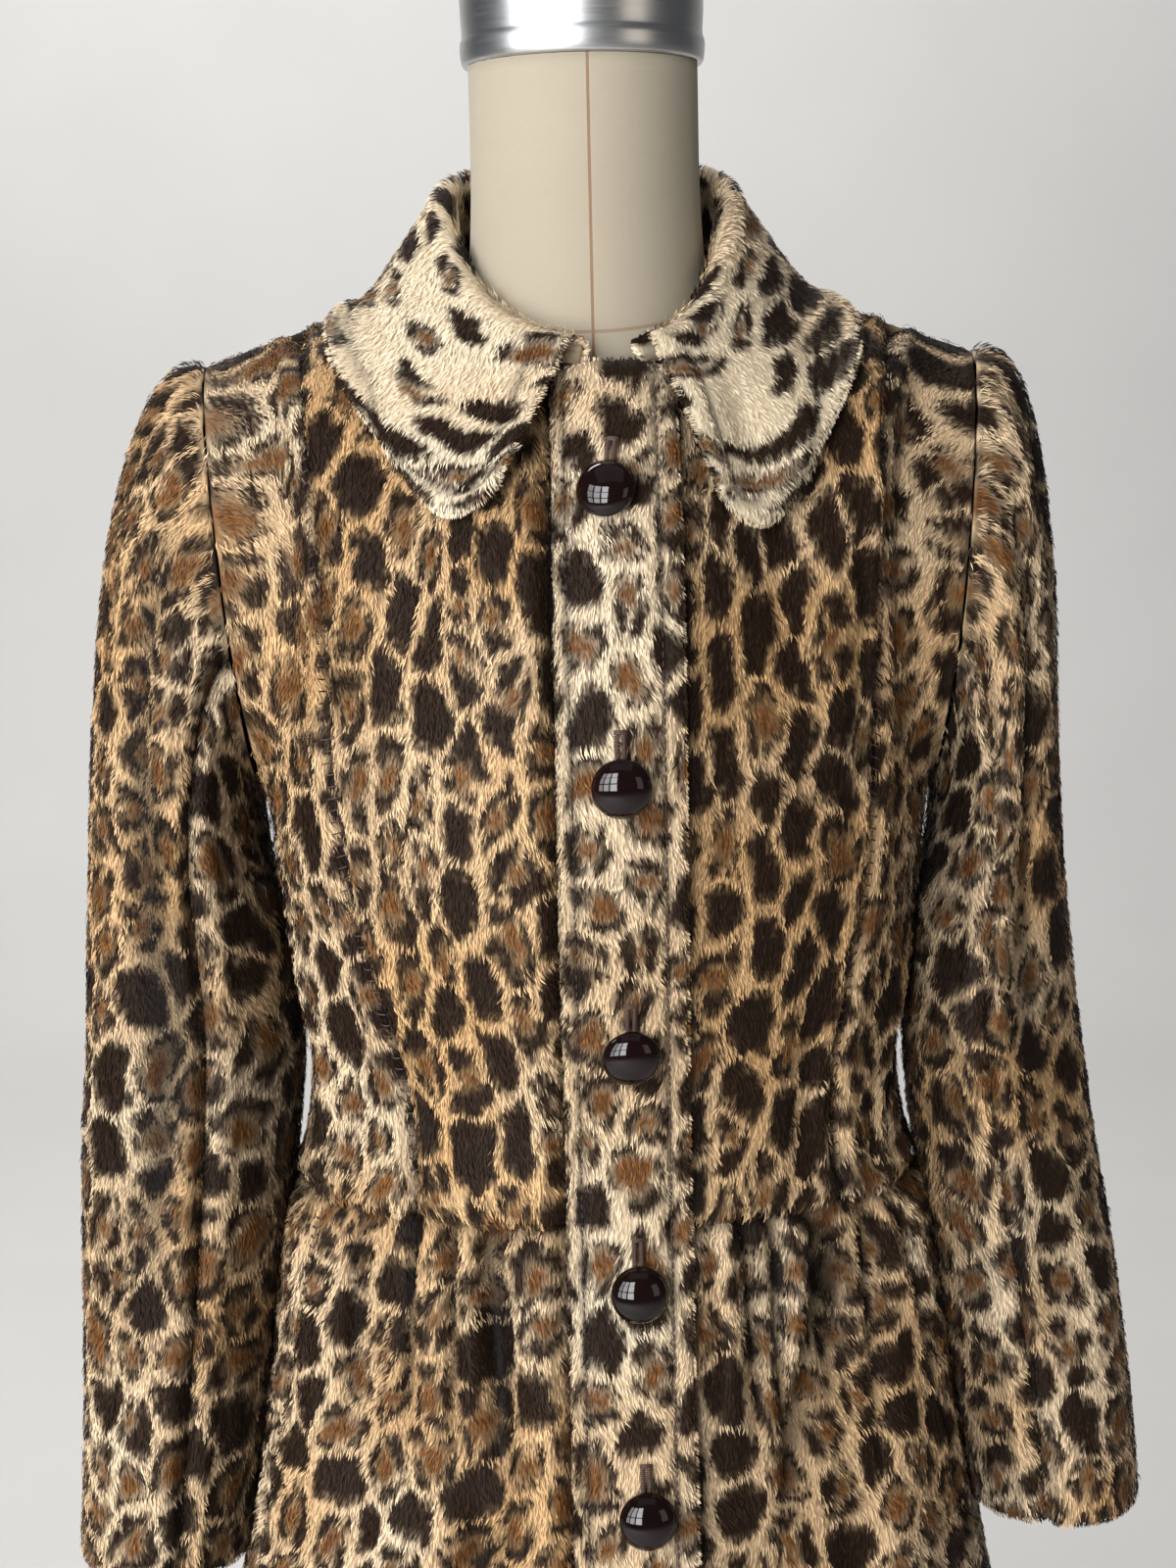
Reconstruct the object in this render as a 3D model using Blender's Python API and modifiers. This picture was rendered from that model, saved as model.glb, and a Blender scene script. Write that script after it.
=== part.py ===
"""Knee-length faux fur coat, buttoned on a limbless dress form.

Metres, +Z up. The front faces -Y and the wearer's left is +X. The origin is on the floor, under the pole.
Every cloth piece is a closed wall. Its outer face is where the pile's tips lie, and its inner face is the
same surface moved in along its normals, so that neighbours stay SEAM apart all through their thickness.
"""

import math
from collections import namedtuple

import bmesh
import bpy
import numpy as np
from mathutils import Vector
from mathutils.bvhtree import BVHTree

# Cloth
WALL = 0.006
SEAM = 0.0003

# Heights
WAIST = 1.00
HEM = 0.47
CHEST = 1.15

# Neckline, shoulder and armhole of the wearer's left half
NECK_FRONT = (0.0, -0.083, 1.398)
NECK_SIDE = (0.068, 0.004, 1.445)
NECK_BACK = (0.0, 0.064, 1.455)
SHOULDER_TIP = (0.1877, 0.012, 1.4035)
UNDERARM = (0.166, 0.002, 1.195)
NECK_SPREAD = 0.026
ARMHOLE_FRONT_REACH = 0.064
ARMHOLE_BACK_REACH = 0.055

# Closing, measured across the front
CLOSING_X = 0.010
CLOSING_DRIFT = 0.0142
BAND_LEFT = -0.0205
LAP_X = (-0.0105, 0.0015, 0.0135, 0.0255, 0.0375)
BUTTON_HEIGHTS = (1.340, 1.214, 1.0875, 0.970, 0.866, 0.764, 0.662)
BUTTON_RADIUS = 0.0135

# Where the princess seams run, as body columns at the waist, the chest line and the shoulder
PRINCESS = {"left": (1.88, 1.80, 1.69), "right": (1.60, 1.63, 1.63)}

# Sleeves, by the turn around the armhole from its top, positive to the front
GATHER_COUNT = 6
GATHER_DEPTH = 0.0022
GATHER_SPREAD = 66.0
SLEEVE_FRONT_SEAM = 110.0
SLEEVE_BACK_SEAM = -132.0
CUFF = {"left": 0.826, "right": 0.807}

# Collar
COLLAR_START = 0.0135
COLLAR_CLEAR = 0.0024
COLLAR_BAND_REACH = 0.058
COLLAR_TIP_RISE = {"left": 0.0, "right": 0.009}
COLLAR_TIP_OUT = {"left": 0.003, "right": 0.008}
NECK_STATIONS = (0.40, 0.62, 0.82, 1.0, 1.22, 1.47, 1.73, 2.0)
CHEST_MIDDLE = (0.0005, -0.005, 1.30)
FALL_ROWS = 6

# Dress form
FORM_EASE = 0.015
FORM_BOTTOM = 0.79
FORM_NECK_STEPS = 3
FORM_SHOULDER_STEPS = 3
FORM_ARM_STEPS = 6
NECK_FLARE = 0.0019
NECK_RADIUS = 0.0565
NECK_CENTRE_Y = -0.004
NECK_TOP = 1.541
POLE_RADIUS = 0.0127
BASE_TOP = 0.0317

BodyRing = namedtuple("BodyRing", "height half_width front back")
BODY = (
    BodyRing(0.47, 0.248, 0.200, 0.220),
    BodyRing(0.62, 0.222, 0.172, 0.192),
    BodyRing(0.78, 0.190, 0.148, 0.164),
    BodyRing(0.90, 0.1725, 0.130, 0.140),
    BodyRing(1.00, 0.158, 0.116, 0.114),
    BodyRing(1.04, 0.149, 0.115, 0.110),
    BodyRing(1.11, 0.154, 0.128, 0.116),
    BodyRing(1.19, 0.167, 0.145, 0.124),
)

FORM_HIPS = (
    BodyRing(0.79, 0.120, 0.090, 0.100),
    BodyRing(0.795, 0.138, 0.104, 0.117),
    BodyRing(0.81, 0.146, 0.110, 0.124),
    BodyRing(0.86, 0.152, 0.113, 0.126),
    BodyRing(0.93, 0.146, 0.106, 0.112),
    BodyRing(0.98, 0.139, 0.100, 0.098),
)

# Columns run from the front edge (0) over the side of the neck (1), the shoulder tip (2), the underarm (3),
# the shoulder tip again (4) and the side of the neck again (5) to the centre back (6)
# Lean tips a column's upper end from upright to the back, and out pulls it away from the middle
Column = namedtuple("Column", "column waist_angle chest_angle lean out")
COLUMNS = (
    Column(0.0, 0.0, 0.0, 33.0, 0.0),
    Column(0.75, 19.0, 19.0, 50.0, 0.0),
    Column(1.0, 26.0, 25.1, 58.0, 0.0),
    Column(1.3, 30.5, 37.0, 74.0, 0.0),
    Column(1.6, 35.5, 49.0, 90.0, 0.0),
    Column(1.8, 43.5, 53.0, 90.0, 0.35),
    Column(2.0, 52.0, 57.0, 90.0, 0.75),
    Column(2.12, 53.0, 60.0, 72.0, 1.0),
    Column(2.25, 54.5, 63.0, 55.0, 1.1),
    Column(2.5, 57.0, 69.0, 25.0, 1.0),
    Column(2.75, 59.5, 76.0, 8.0, 0.6),
    Column(3.0, 62.0, 86.0, 0.0, 0.1),
    Column(3.25, 71.0, 97.0, -8.0, 0.6),
    Column(3.5, 80.0, 109.0, -25.0, 1.0),
    Column(3.75, 90.0, 119.0, -55.0, 1.1),
    Column(3.88, 95.0, 124.0, -72.0, 1.0),
    Column(4.0, 100.0, 128.0, -90.0, 0.75),
    Column(4.2, 111.0, 132.5, -90.0, 0.35),
    Column(4.4, 122.0, 136.5, -90.0, 0.0),
    Column(4.7, 135.0, 142.0, -78.0, 0.0),
    Column(5.0, 146.0, 147.5, -60.0, 0.0),
    Column(5.1, 151.0, 152.0, -55.0, 0.0),
    Column(5.3, 159.0, 159.0, -47.0, 0.0),
    Column(6.0, 180.0, 180.0, -25.0, 0.0),
)

# Angles from the front, positive towards the wearer's left. Depths run inwards
Fold = namedtuple("Fold", "waist_angle hem_angle width waist_depth hem_depth")
FOLDS = (
    Fold(-44.0, -50.0, 5.5, 0.0070, 0.0050),
    Fold(-32.0, -38.0, 4.5, 0.0045, 0.0030),
    Fold(-21.0, -25.0, 5.0, 0.0080, 0.0060),
    Fold(22.0, 26.0, 5.0, 0.0050, 0.0040),
    Fold(32.0, 34.0, 5.0, 0.0040, 0.0020),
    Fold(44.0, 36.0, 5.5, 0.0075, 0.0070),
    Fold(-32.0, -32.0, 9.0, 0.0, -0.0100),
    Fold(46.0, 50.0, 9.0, 0.0, -0.0110),
    Fold(-64.0, -66.0, 9.0, 0.0, -0.0100),
    Fold(100.0, 100.0, 12.0, 0.0, -0.0120),
    Fold(-104.0, -104.0, 12.0, 0.0, -0.0120),
    Fold(132.0, 130.0, 6.0, 0.0050, -0.0100),
    Fold(144.0, 146.0, 5.5, 0.0060, 0.0060),
    Fold(158.0, 160.0, 5.5, 0.0050, -0.0090),
    Fold(172.0, 174.0, 5.5, 0.0060, 0.0060),
    Fold(-172.0, -170.0, 5.5, 0.0050, -0.0090),
    Fold(-158.0, -160.0, 5.5, 0.0060, 0.0050),
    Fold(-144.0, -142.0, 5.5, 0.0050, 0.0060),
    Fold(-131.0, -128.0, 6.0, 0.0060, -0.0100),
)

SkirtSeam = namedtuple("SkirtSeam", "height angle")
SKIRT_SIDE = (
    SkirtSeam(0.47, 78.0),
    SkirtSeam(0.80, 72.0),
    SkirtSeam(1.00, 62.0),
)

# The two sleeves hang differently, so each has its own half widths
SleeveRing = namedtuple("SleeveRing", "height inner half_left half_right centre_y half_depth")
SLEEVE = (
    SleeveRing(0.807, 0.1885, 0.04125, 0.04275, -0.022, 0.046),
    SleeveRing(0.92, 0.1725, 0.0445, 0.0480, -0.013, 0.054),
    SleeveRing(1.00, 0.1605, 0.04475, 0.05325, -0.006, 0.060),
    SleeveRing(1.08, 0.1548, 0.04235, 0.05335, 0.000, 0.066),
    SleeveRing(1.15, 0.1625, 0.0355, 0.0475, 0.004, 0.070),
)

# From the front end (0) past the side of the neck (1) to the centre back (2)
CollarRow = namedtuple("CollarRow", "station stand roll edge_x edge_y edge_z")
COLLAR = (
    CollarRow(0.00, 0.006, 0.0085, 0.046, -0.126, 1.341),
    CollarRow(0.05, 0.006, 0.0085, 0.057, -0.123, 1.330),
    CollarRow(0.12, 0.006, 0.0082, 0.070, -0.118, 1.327),
    CollarRow(0.25, 0.008, 0.0075, 0.088, -0.110, 1.341),
    CollarRow(0.45, 0.013, 0.0062, 0.100, -0.095, 1.361),
    CollarRow(0.70, 0.022, 0.0052, 0.110, -0.062, 1.388),
    CollarRow(1.00, 0.032, 0.0050, 0.115, 0.010, 1.424),
    CollarRow(1.30, 0.038, 0.0050, 0.101, 0.072, 1.423),
    CollarRow(1.65, 0.040, 0.0050, 0.058, 0.108, 1.416),
    CollarRow(2.00, 0.040, 0.0050, 0.000, 0.118, 1.411),
)

COLOURS = {
    "fur": (0.60, 0.40, 0.20, 1.0),
    "band_fur": (0.66, 0.50, 0.30, 1.0),
    "button": (0.03, 0.02, 0.02, 1.0),
    "linen": (0.72, 0.66, 0.55, 1.0),
    "metal": (0.62, 0.61, 0.58, 1.0),
    "stand": (0.06, 0.06, 0.06, 1.0),
}


def through(rows, key, value, at):
    """A cubic through one column of a table; the slope at each row is that of its two neighbours."""
    knots = np.array([getattr(row, key) for row in rows], dtype=float)
    values = np.array([getattr(row, value) for row in rows], dtype=float)
    slopes = np.gradient(values, knots)
    at = np.asarray(at, dtype=float)
    low = np.clip(np.searchsorted(knots, at, side="right") - 1, 0, len(knots) - 2)
    span = knots[low + 1] - knots[low]
    t = (at - knots[low]) / span
    rise = values[low + 1] - values[low]
    a = slopes[low] * span - rise
    b = rise - slopes[low + 1] * span
    return values[low] + t * rise + t * (1 - t) * (a * (1 - t) + b * t)


def straight(rows, key, value, at):
    """Straight interpolation in one column of a table."""
    return np.interp(at, [getattr(row, key) for row in rows], [getattr(row, value) for row in rows])


def unit(vectors):
    return vectors / np.linalg.norm(vectors, axis=-1, keepdims=True)


def stack(x, y, z):
    return np.stack(np.broadcast_arrays(x, y, z), axis=-1)


def ring(rows, angle, height):
    """Point of an oval ring: half an ellipse in front of the side line and half of another behind it."""
    half = through(rows, "height", "half_width", height)
    front = through(rows, "height", "front", height)
    back = through(rows, "height", "back", height)
    deep = np.where(np.cos(angle) > 0, front, back)
    return stack(half * np.sin(angle), -deep * np.cos(angle), height + 0 * angle)


def front_angle(x, height):
    """Angle at which the body ring has a given x."""
    return np.arcsin(x / through(BODY, "height", "half_width", height))


def neckline(x, centre, middle):
    """Half oval through the middle of the neckline, at x = centre, and both sides of the neck."""
    span = np.where(x > centre, NECK_SIDE[0] - centre, NECK_SIDE[0] + centre)
    share = np.clip(np.abs(x - centre) / span, 0, 1)
    reach = np.sqrt(1 - share ** 2)
    y = NECK_SIDE[1] + (middle[1] - NECK_SIDE[1]) * reach
    z = NECK_SIDE[2] + (middle[2] - NECK_SIDE[2]) * reach
    return stack(x, y, z)


def top_edge(column, lead, closing):
    """Neckline, shoulder line and armhole of one half, in the order of the columns."""
    neck, tip, under = np.array(NECK_SIDE), np.array(SHOULDER_TIP), np.array(UNDERARM)
    column = np.asarray(column, dtype=float)
    front_x = lead + (NECK_SIDE[0] - lead) * np.minimum(column, 1)
    front_neck = neckline(front_x, closing, NECK_FRONT)
    share = np.clip(column - 1, 0, 1)[..., None]
    front_shoulder = neck + (tip - neck) * share
    turn = np.pi * np.clip(column - 2, 0, 2)
    down = ((1 - np.cos(turn)) / 2)[..., None]
    reach = np.where(column < 3, ARMHOLE_FRONT_REACH, ARMHOLE_BACK_REACH)
    armhole = tip + (under - tip) * down
    armhole[..., 1] -= reach * np.sin(turn)
    share = np.clip(column - 4, 0, 1)[..., None]
    back_shoulder = tip + (neck - tip) * share
    back_x = NECK_SIDE[0] * (6 - np.clip(column, 5, 6))
    back_neck = neckline(back_x, 0.0, NECK_BACK)
    place = column[..., None]
    edge = np.where(place < 1, front_neck, front_shoulder)
    edge = np.where(place > 2, armhole, edge)
    edge = np.where(place > 4, back_shoulder, edge)
    return np.where(place > 5, back_neck, edge)


def front_x(column, share, lead, closing):
    """How far from the middle a front column runs; at the chest line columns spread beside the neck."""
    x = lead + (NECK_SIDE[0] - lead) * np.minimum(column, 1)
    turn = np.arcsin(np.clip((x - closing) / (NECK_SIDE[0] - closing), 0, 1))
    return x + NECK_SPREAD * share * np.clip(3 * turn / np.pi - 0.5, 0, 1) ** 1.5


def body_line(column, share, height, lead, closing):
    """Point below the chest line: straight columns near the middle, and columns at an angle elsewhere."""
    waist = straight(COLUMNS, "column", "waist_angle", column)
    chest = straight(COLUMNS, "column", "chest_angle", column)
    angle = np.radians(waist + (chest - waist) * share)
    neck = [np.radians(straight(COLUMNS, "column", name, 1.0)) for name in ("waist_angle", "chest_angle")]
    middle = front_angle(front_x(column, share, lead, closing), height)
    joint = middle - (neck[0] + (neck[1] - neck[0]) * share)
    angle = angle + joint * np.clip((1.6 - column) / 0.6, 0, 1)
    return ring(BODY, np.where(column < 1, middle, angle), height)


def bodice(column, rise, lead=0.0, closing=0.0):
    """Outer face of one half. Rise runs from the waist (0) past the chest line (1) to the top edge (2)."""
    column, rise = np.broadcast_arrays(np.asarray(column, dtype=float), np.asarray(rise, dtype=float))
    share = np.clip(rise, 0, 1)
    lower = body_line(column, share, WAIST + (CHEST - WAIST) * share, lead, closing)
    ones = np.ones_like(column)
    start = body_line(column, ones, CHEST * ones, lead, closing)
    before = body_line(column, ones, (CHEST - 0.004) * ones, lead, closing)
    end = top_edge(column, lead, closing)
    lean = np.radians(straight(COLUMNS, "column", "lean", column))
    arrive = unit(stack(straight(COLUMNS, "column", "out", column), np.sin(lean), np.cos(lean)))
    reach = 0.4 * np.linalg.norm(end - start, axis=-1, keepdims=True)
    near = start + unit(start - before) * reach
    far = end - arrive * reach
    t = np.clip(rise - 1, 0, 1)[..., None]
    upper = (1 - t) ** 3 * start + 3 * t * (1 - t) ** 2 * near + 3 * t ** 2 * (1 - t) * far + t ** 3 * end
    return np.where(rise[..., None] <= 1, lower, upper)


def normals(surface, u, v, u_range, v_range, step=0.02):
    """Normals of a surface from its differences along both parameters."""
    across = surface(np.minimum(u + step, u_range[1]), v) - surface(np.maximum(u - step, u_range[0]), v)
    small = step / 20
    along = surface(u, np.minimum(v + small, v_range[1])) - surface(u, np.maximum(v - small, v_range[0]))
    return unit(np.cross(across, along))


def level(facing):
    """Normals turned to lie level, as at the waist seam."""
    return unit(facing * np.array((1.0, 1.0, 0.0)))


def mirrored(points, side):
    return points * np.array((1.0 if side == "left" else -1.0, 1.0, 1.0))


def add_object(name, mesh, colour, group):
    mesh.materials.append(MATERIALS[colour])
    shape = bpy.data.objects.new(name, mesh)
    group.objects.link(shape)
    shape.parent = ROOT
    return shape


def wall(name, outer, inner, colour, group):
    """Closed wall between two grids of points, with a rim around all four sides.

    All diagonals follow one rule, so that pieces with the same seam line also have the same rim.
    """
    rows, columns = outer.shape[:2]
    count = rows * columns
    index = np.arange(count).reshape(rows, columns)
    a, b, c, d = (part.ravel() for part in (index[:-1, :-1], index[:-1, 1:], index[1:, 1:], index[1:, :-1]))
    sheet = np.concatenate((np.stack((a, b, c), axis=-1), np.stack((a, c, d), axis=-1)))
    points = np.concatenate((outer.reshape(-1, 3), inner.reshape(-1, 3)))
    loop = np.concatenate((index[0, :-1], index[:-1, -1], index[-1, :0:-1], index[:0:-1, 0]))
    after = np.roll(loop, -1)
    rank = points[:, 2] + 0.1 * np.abs(points[:, 0])
    low = np.where(rank[loop] < rank[after], loop, after)
    high = loop + after - low
    first = np.stack((low, high, high + count), axis=-1)
    second = np.stack((low, high + count, low + count), axis=-1)
    faces = np.concatenate((sheet, sheet[:, ::-1] + count, first, second))
    mesh = bpy.data.meshes.new(name)
    mesh.from_pydata(points.tolist(), [], faces.tolist())
    work = bmesh.new()
    work.from_mesh(mesh)
    bmesh.ops.recalc_face_normals(work, faces=work.faces)
    work.to_mesh(mesh)
    work.free()
    return add_object(name, mesh, colour, group)


def turned(name, profile, steps, colour, group):
    """Solid of revolution about Z; the profile runs from the top of the axis to the bottom of the axis."""
    mesh = bpy.data.meshes.new(name)
    mesh.from_pydata([(r, 0.0, z) for r, z in profile], [(i, i + 1) for i in range(len(profile) - 1)], [])
    shape = add_object(name, mesh, colour, group)
    screw = shape.modifiers.new("turn", "SCREW")
    screw.steps = steps
    screw.render_steps = steps
    screw.use_merge_vertices = True
    screw.merge_threshold = 0.00001
    return shape


def spaced(*stops):
    """Values along stops, each given as (value, steps from the one before)."""
    values = [stops[0][0]]
    for (start, _), (end, steps) in zip(stops, stops[1:]):
        values.extend(start + (end - start) * k / steps for k in range(1, steps + 1))
    return np.array(values)


def arm_turns():
    """Turns around the armhole, in degrees, that bodice and sleeve share; a pleat peaks at every second."""
    return spaced(
        (-180.0, 0),
        (SLEEVE_BACK_SEAM, 2),
        (-GATHER_SPREAD, 3),
        (GATHER_SPREAD, 2 * GATHER_COUNT),
        (SLEEVE_FRONT_SEAM, 2),
        (180.0, 3),
    )


def bodice_rows():
    """Rises that all bodice pieces, the band and the form share."""
    return spaced((0.0, 0), (1.0, 4), (2.0, 7))


def skirt_rows():
    """Heights that the skirt pieces and the band share, from the hem up to the waist seam."""
    return WAIST - SEAM - (WAIST - SEAM - HEM) * np.linspace(1, 0, 10) ** 1.15


def bodice_sheet(columns, lead, closing):
    """Points and normals of a grid of columns; the last row stops half a seam short of the top edge."""
    rise = np.broadcast_to(bodice_rows()[:, None], columns.shape).copy()

    def surface(u, v):
        return bodice(u, v, lead, closing)

    last = np.linalg.norm(surface(columns[-1], rise[-1]) - surface(columns[-1], rise[-1] - 0.01), axis=-1)
    rise[-1] -= 0.01 * SEAM / 2 / last
    facing = normals(surface, columns, rise, (-1, 6), (0, 2))
    facing[0] = level(facing[0])
    on_shoulder = np.abs(np.abs(columns[-1] - 3) - 1.5) < 0.501
    slope = np.array(SHOULDER_TIP) - np.array(NECK_SIDE)
    facing[-1, on_shoulder] = unit(np.array((-slope[2], 0.0, slope[0])))
    return surface(columns, rise), facing


def moved_in(columns, place, direction, lead, closing):
    """Move one column of a grid sideways by half a seam."""
    rise = bodice_rows()
    u = columns[:, place]
    across = bodice(u + 0.01, rise, lead, closing) - bodice(u - 0.01, rise, lead, closing)
    columns[:, place] += direction * 0.02 * SEAM / 2 / np.linalg.norm(across, axis=-1)


def neck_column(station, lead, closing):
    """Column at a station of the neckline: equal turns from the collar's front end to the centre back."""
    if station >= 1:
        return 6 - math.sin(math.pi / 2 * (2 - station))
    span = NECK_SIDE[0] - closing
    begin = math.asin(COLLAR_START / span)
    x = closing + span * math.sin(begin + (math.pi / 2 - begin) * station)
    return (x - lead) / (NECK_SIDE[0] - lead)


def between(start, end, shares):
    return start[:, None] + (end - start)[:, None] * np.asarray(shares)


def fronts(side, group):
    """Front and side front of one half; the left front reaches under the band."""
    rise = bodice_rows()
    ones = np.ones_like(rise)
    lead = LAP_X[0] if side == "left" else -BAND_LEFT + SEAM
    closing = CLOSING_X if side == "left" else -CLOSING_X
    under = LAP_X if side == "left" else (lead,)
    first = [(x - lead) / (NECK_SIDE[0] - lead) for x in under]
    first += [neck_column(station, lead, closing) for station in NECK_STATIONS[:3]]
    seam = np.interp(rise, (0, 1, 2), PRINCESS[side])
    arm = arm_turns()
    middle = np.concatenate((
        between(0 * ones, ones, first),
        between(ones, seam, np.linspace(0, 1, 5)),
    ), axis=1)
    moved_in(middle, -1, -1, lead, closing)
    outside = np.concatenate((
        between(seam, 2 * ones, np.linspace(0, 1, 4)[:-1]),
        between(2 * ones, 3 * ones, arm[arm >= -0.001] / 180),
    ), axis=1)
    moved_in(outside, 0, 1, lead, closing)
    moved_in(outside, -1, -1, lead, closing)
    pieces = []
    for name, columns in (("front_", middle), ("side_front_", outside)):
        points, facing = bodice_sheet(columns, lead, closing)
        inner = points - WALL * facing
        pieces.append(wall(name + side, mirrored(points, side), mirrored(inner, side), "fur", group))
    return pieces


def back(group):
    """Back bodice in one piece, worked out as two halves that share the centre back."""
    ones = np.ones_like(bodice_rows())
    arm = arm_turns()
    columns = np.concatenate((
        between(3 * ones, 4 * ones, (arm[arm <= 0.001] + 180) / 180),
        between(4 * ones, 5 * ones, np.linspace(0, 1, 5)[1:]),
        between(0 * ones, ones, [neck_column(station, 0.0, 0.0) for station in NECK_STATIONS[4:]]),
    ), axis=1)
    moved_in(columns, 0, 1, 0.0, 0.0)
    outer, facing = bodice_sheet(columns, 0.0, 0.0)
    facing[:, -1, 0] = 0
    inner = outer - WALL * unit(facing)
    whole = [np.concatenate((half, mirrored(half, "right")[:, -2::-1]), axis=1) for half in (outer, inner)]
    return wall("back_bodice", whole[0], whole[1], "fur", group)


def skirt(angle, height):
    """Skirt's outer face: the body ring pushed in and out by the folds, which are shallow at the seam."""
    share = np.clip((WAIST - height) / (WAIST - HEM), 0, 1)
    eased = 0.35 + 0.65 * np.clip(share / 0.08, 0, 1)
    push = 0 * angle
    for fold in FOLDS:
        middle = np.radians(fold.waist_angle + (fold.hem_angle - fold.waist_angle) * share)
        away = (angle - middle + np.pi) % (2 * np.pi) - np.pi
        depth = fold.waist_depth * (1 - share) + fold.hem_depth * share ** 1.5
        push = push - eased * depth * np.exp(-(away / np.radians(fold.width)) ** 2)
    out = stack(np.sin(angle), -np.cos(angle), 0 * angle)
    return ring(BODY, angle, height) + push[..., None] * out


def skirt_sheet(angle, height):
    """Points and normals of a grid of angles, one row per height; normals lie level at the waist seam."""
    height = np.broadcast_to(height[:, None], angle.shape)
    facing = normals(skirt, angle, height, (-10, 10), (HEM, WAIST))
    facing[-1] = level(facing[-1])
    return skirt(angle, height), facing


def skirt_piece(name, angle, group):
    half = SEAM / 2 / 0.16
    angle[:, 0] += half
    angle[:, -1] -= half
    points, facing = skirt_sheet(angle, skirt_rows())
    return wall(name, points, points - WALL * facing, "fur", group)


def skirts(group):
    """Two fronts and the back."""
    height = skirt_rows()
    side = np.radians(through(SKIRT_SIDE, "height", "angle", height))
    lap = np.array([front_angle(x, height) for x in LAP_X]).T
    left = np.concatenate((lap, between(lap[:, -1], side, spaced((0.0, 0), (0.8, 12), (1.0, 2))[1:])), axis=1)
    right_edge = front_angle(BAND_LEFT - SEAM / 2, height)
    right = between(-side, right_edge, spaced((0.0, 0), (0.2, 2), (0.85, 14), (1.0, 2)))
    rear = between(side, 2 * np.pi - side, spaced((0.0, 0), (0.24, 4), (0.76, 32), (1.0, 4)))
    skirt_piece("skirt_front_left", left, group)
    skirt_piece("skirt_front_right", right, group)
    skirt_piece("skirt_back", rear, group)


def sleeve_ring(side, turn, height):
    """Oval ring of a hanging sleeve: turn 0 is away from the body, a quarter is the front."""
    half = through(SLEEVE, "height", "half_" + side, height)
    inner = through(SLEEVE, "height", "inner", height)
    deep = through(SLEEVE, "height", "half_depth", height)
    centre = through(SLEEVE, "height", "centre_y", height)
    return stack(inner + half + half * np.cos(turn), centre - deep * np.sin(turn), height + 0 * turn)


def sleeve(side, turn, run):
    """Outer face of a sleeve. Run goes from the armhole (0) past the upper arm (1) to the cuff (2)."""
    turn, run = np.broadcast_arrays(np.asarray(turn, dtype=float), np.asarray(run, dtype=float))
    top, cuff = SLEEVE[-1].height, CUFF[side]
    start = top_edge(2 + (turn % (2 * np.pi)) / np.pi, 0.0, 0.0) + np.array((2 * SEAM, 0, 0))
    above, below, beside = np.maximum(np.cos(turn), 0), np.maximum(-np.cos(turn), 0), np.sin(turn)
    leave = unit(stack(
        0.95 * above + 0.8 * np.abs(beside),
        -0.1 * beside,
        0.30 * above - 0.55 * np.abs(beside) - 1.0 * below,
    ))
    end = sleeve_ring(side, turn, top + 0 * turn)
    arrive = unit(sleeve_ring(side, turn, top - 0.004 + 0 * turn) - end)
    reach = np.linalg.norm(end - start, axis=-1, keepdims=True)
    near, far = start + 0.20 * reach * leave, end - 0.42 * reach * arrive
    t = np.clip(run, 0, 1)[..., None]
    head = (1 - t) ** 3 * start + 3 * t * (1 - t) ** 2 * near + 3 * t ** 2 * (1 - t) * far + t ** 3 * end
    centred = ((turn + np.pi) % (2 * np.pi) - np.pi) / np.radians(GATHER_SPREAD)
    fade = np.clip(1 - centred ** 2, 0, 1) * np.clip(1 - run / 0.6, 0, 1) * np.clip(run / 0.05, 0, 1)
    pleat = GATHER_DEPTH * np.cos(np.pi * GATHER_COUNT * centred) * fade
    head = head + pleat[..., None] * stack(0 * turn, -np.sin(turn), np.cos(turn))
    arm = sleeve_ring(side, turn, top + (cuff - top) * np.clip(run - 1, 0, 1))
    return np.where(run[..., None] <= 1, head, arm)


def sleeve_piece(name, side, turns, group):
    """Part of a sleeve between two of its lengthwise seams."""
    turns = np.radians(turns)
    turns[0] += SEAM / 2 / 0.05
    turns[-1] -= SEAM / 2 / 0.05
    run = np.concatenate((np.linspace(0, 1, 9) ** 1.3, np.linspace(1, 2, 6)[1:]))
    u, v = np.meshgrid(turns, run)

    def surface(a, b):
        return sleeve(side, a, b)

    outer = surface(u, v)
    inner = outer - WALL * normals(surface, u, v, (-10, 10), (0, 2))
    return wall(name, mirrored(outer, side), mirrored(inner, side), "fur", group)


def sleeves(side, group):
    """Upper and under sleeve."""
    turns = arm_turns()
    upper = turns[(turns > SLEEVE_BACK_SEAM - 0.001) & (turns < SLEEVE_FRONT_SEAM + 0.001)]
    under = np.concatenate((turns[turns > SLEEVE_FRONT_SEAM - 0.001], turns[1:3] + 360))
    sleeve_piece("upper_sleeve_" + side, side, upper, group)
    sleeve_piece("under_sleeve_" + side, side, under, group)


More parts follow.
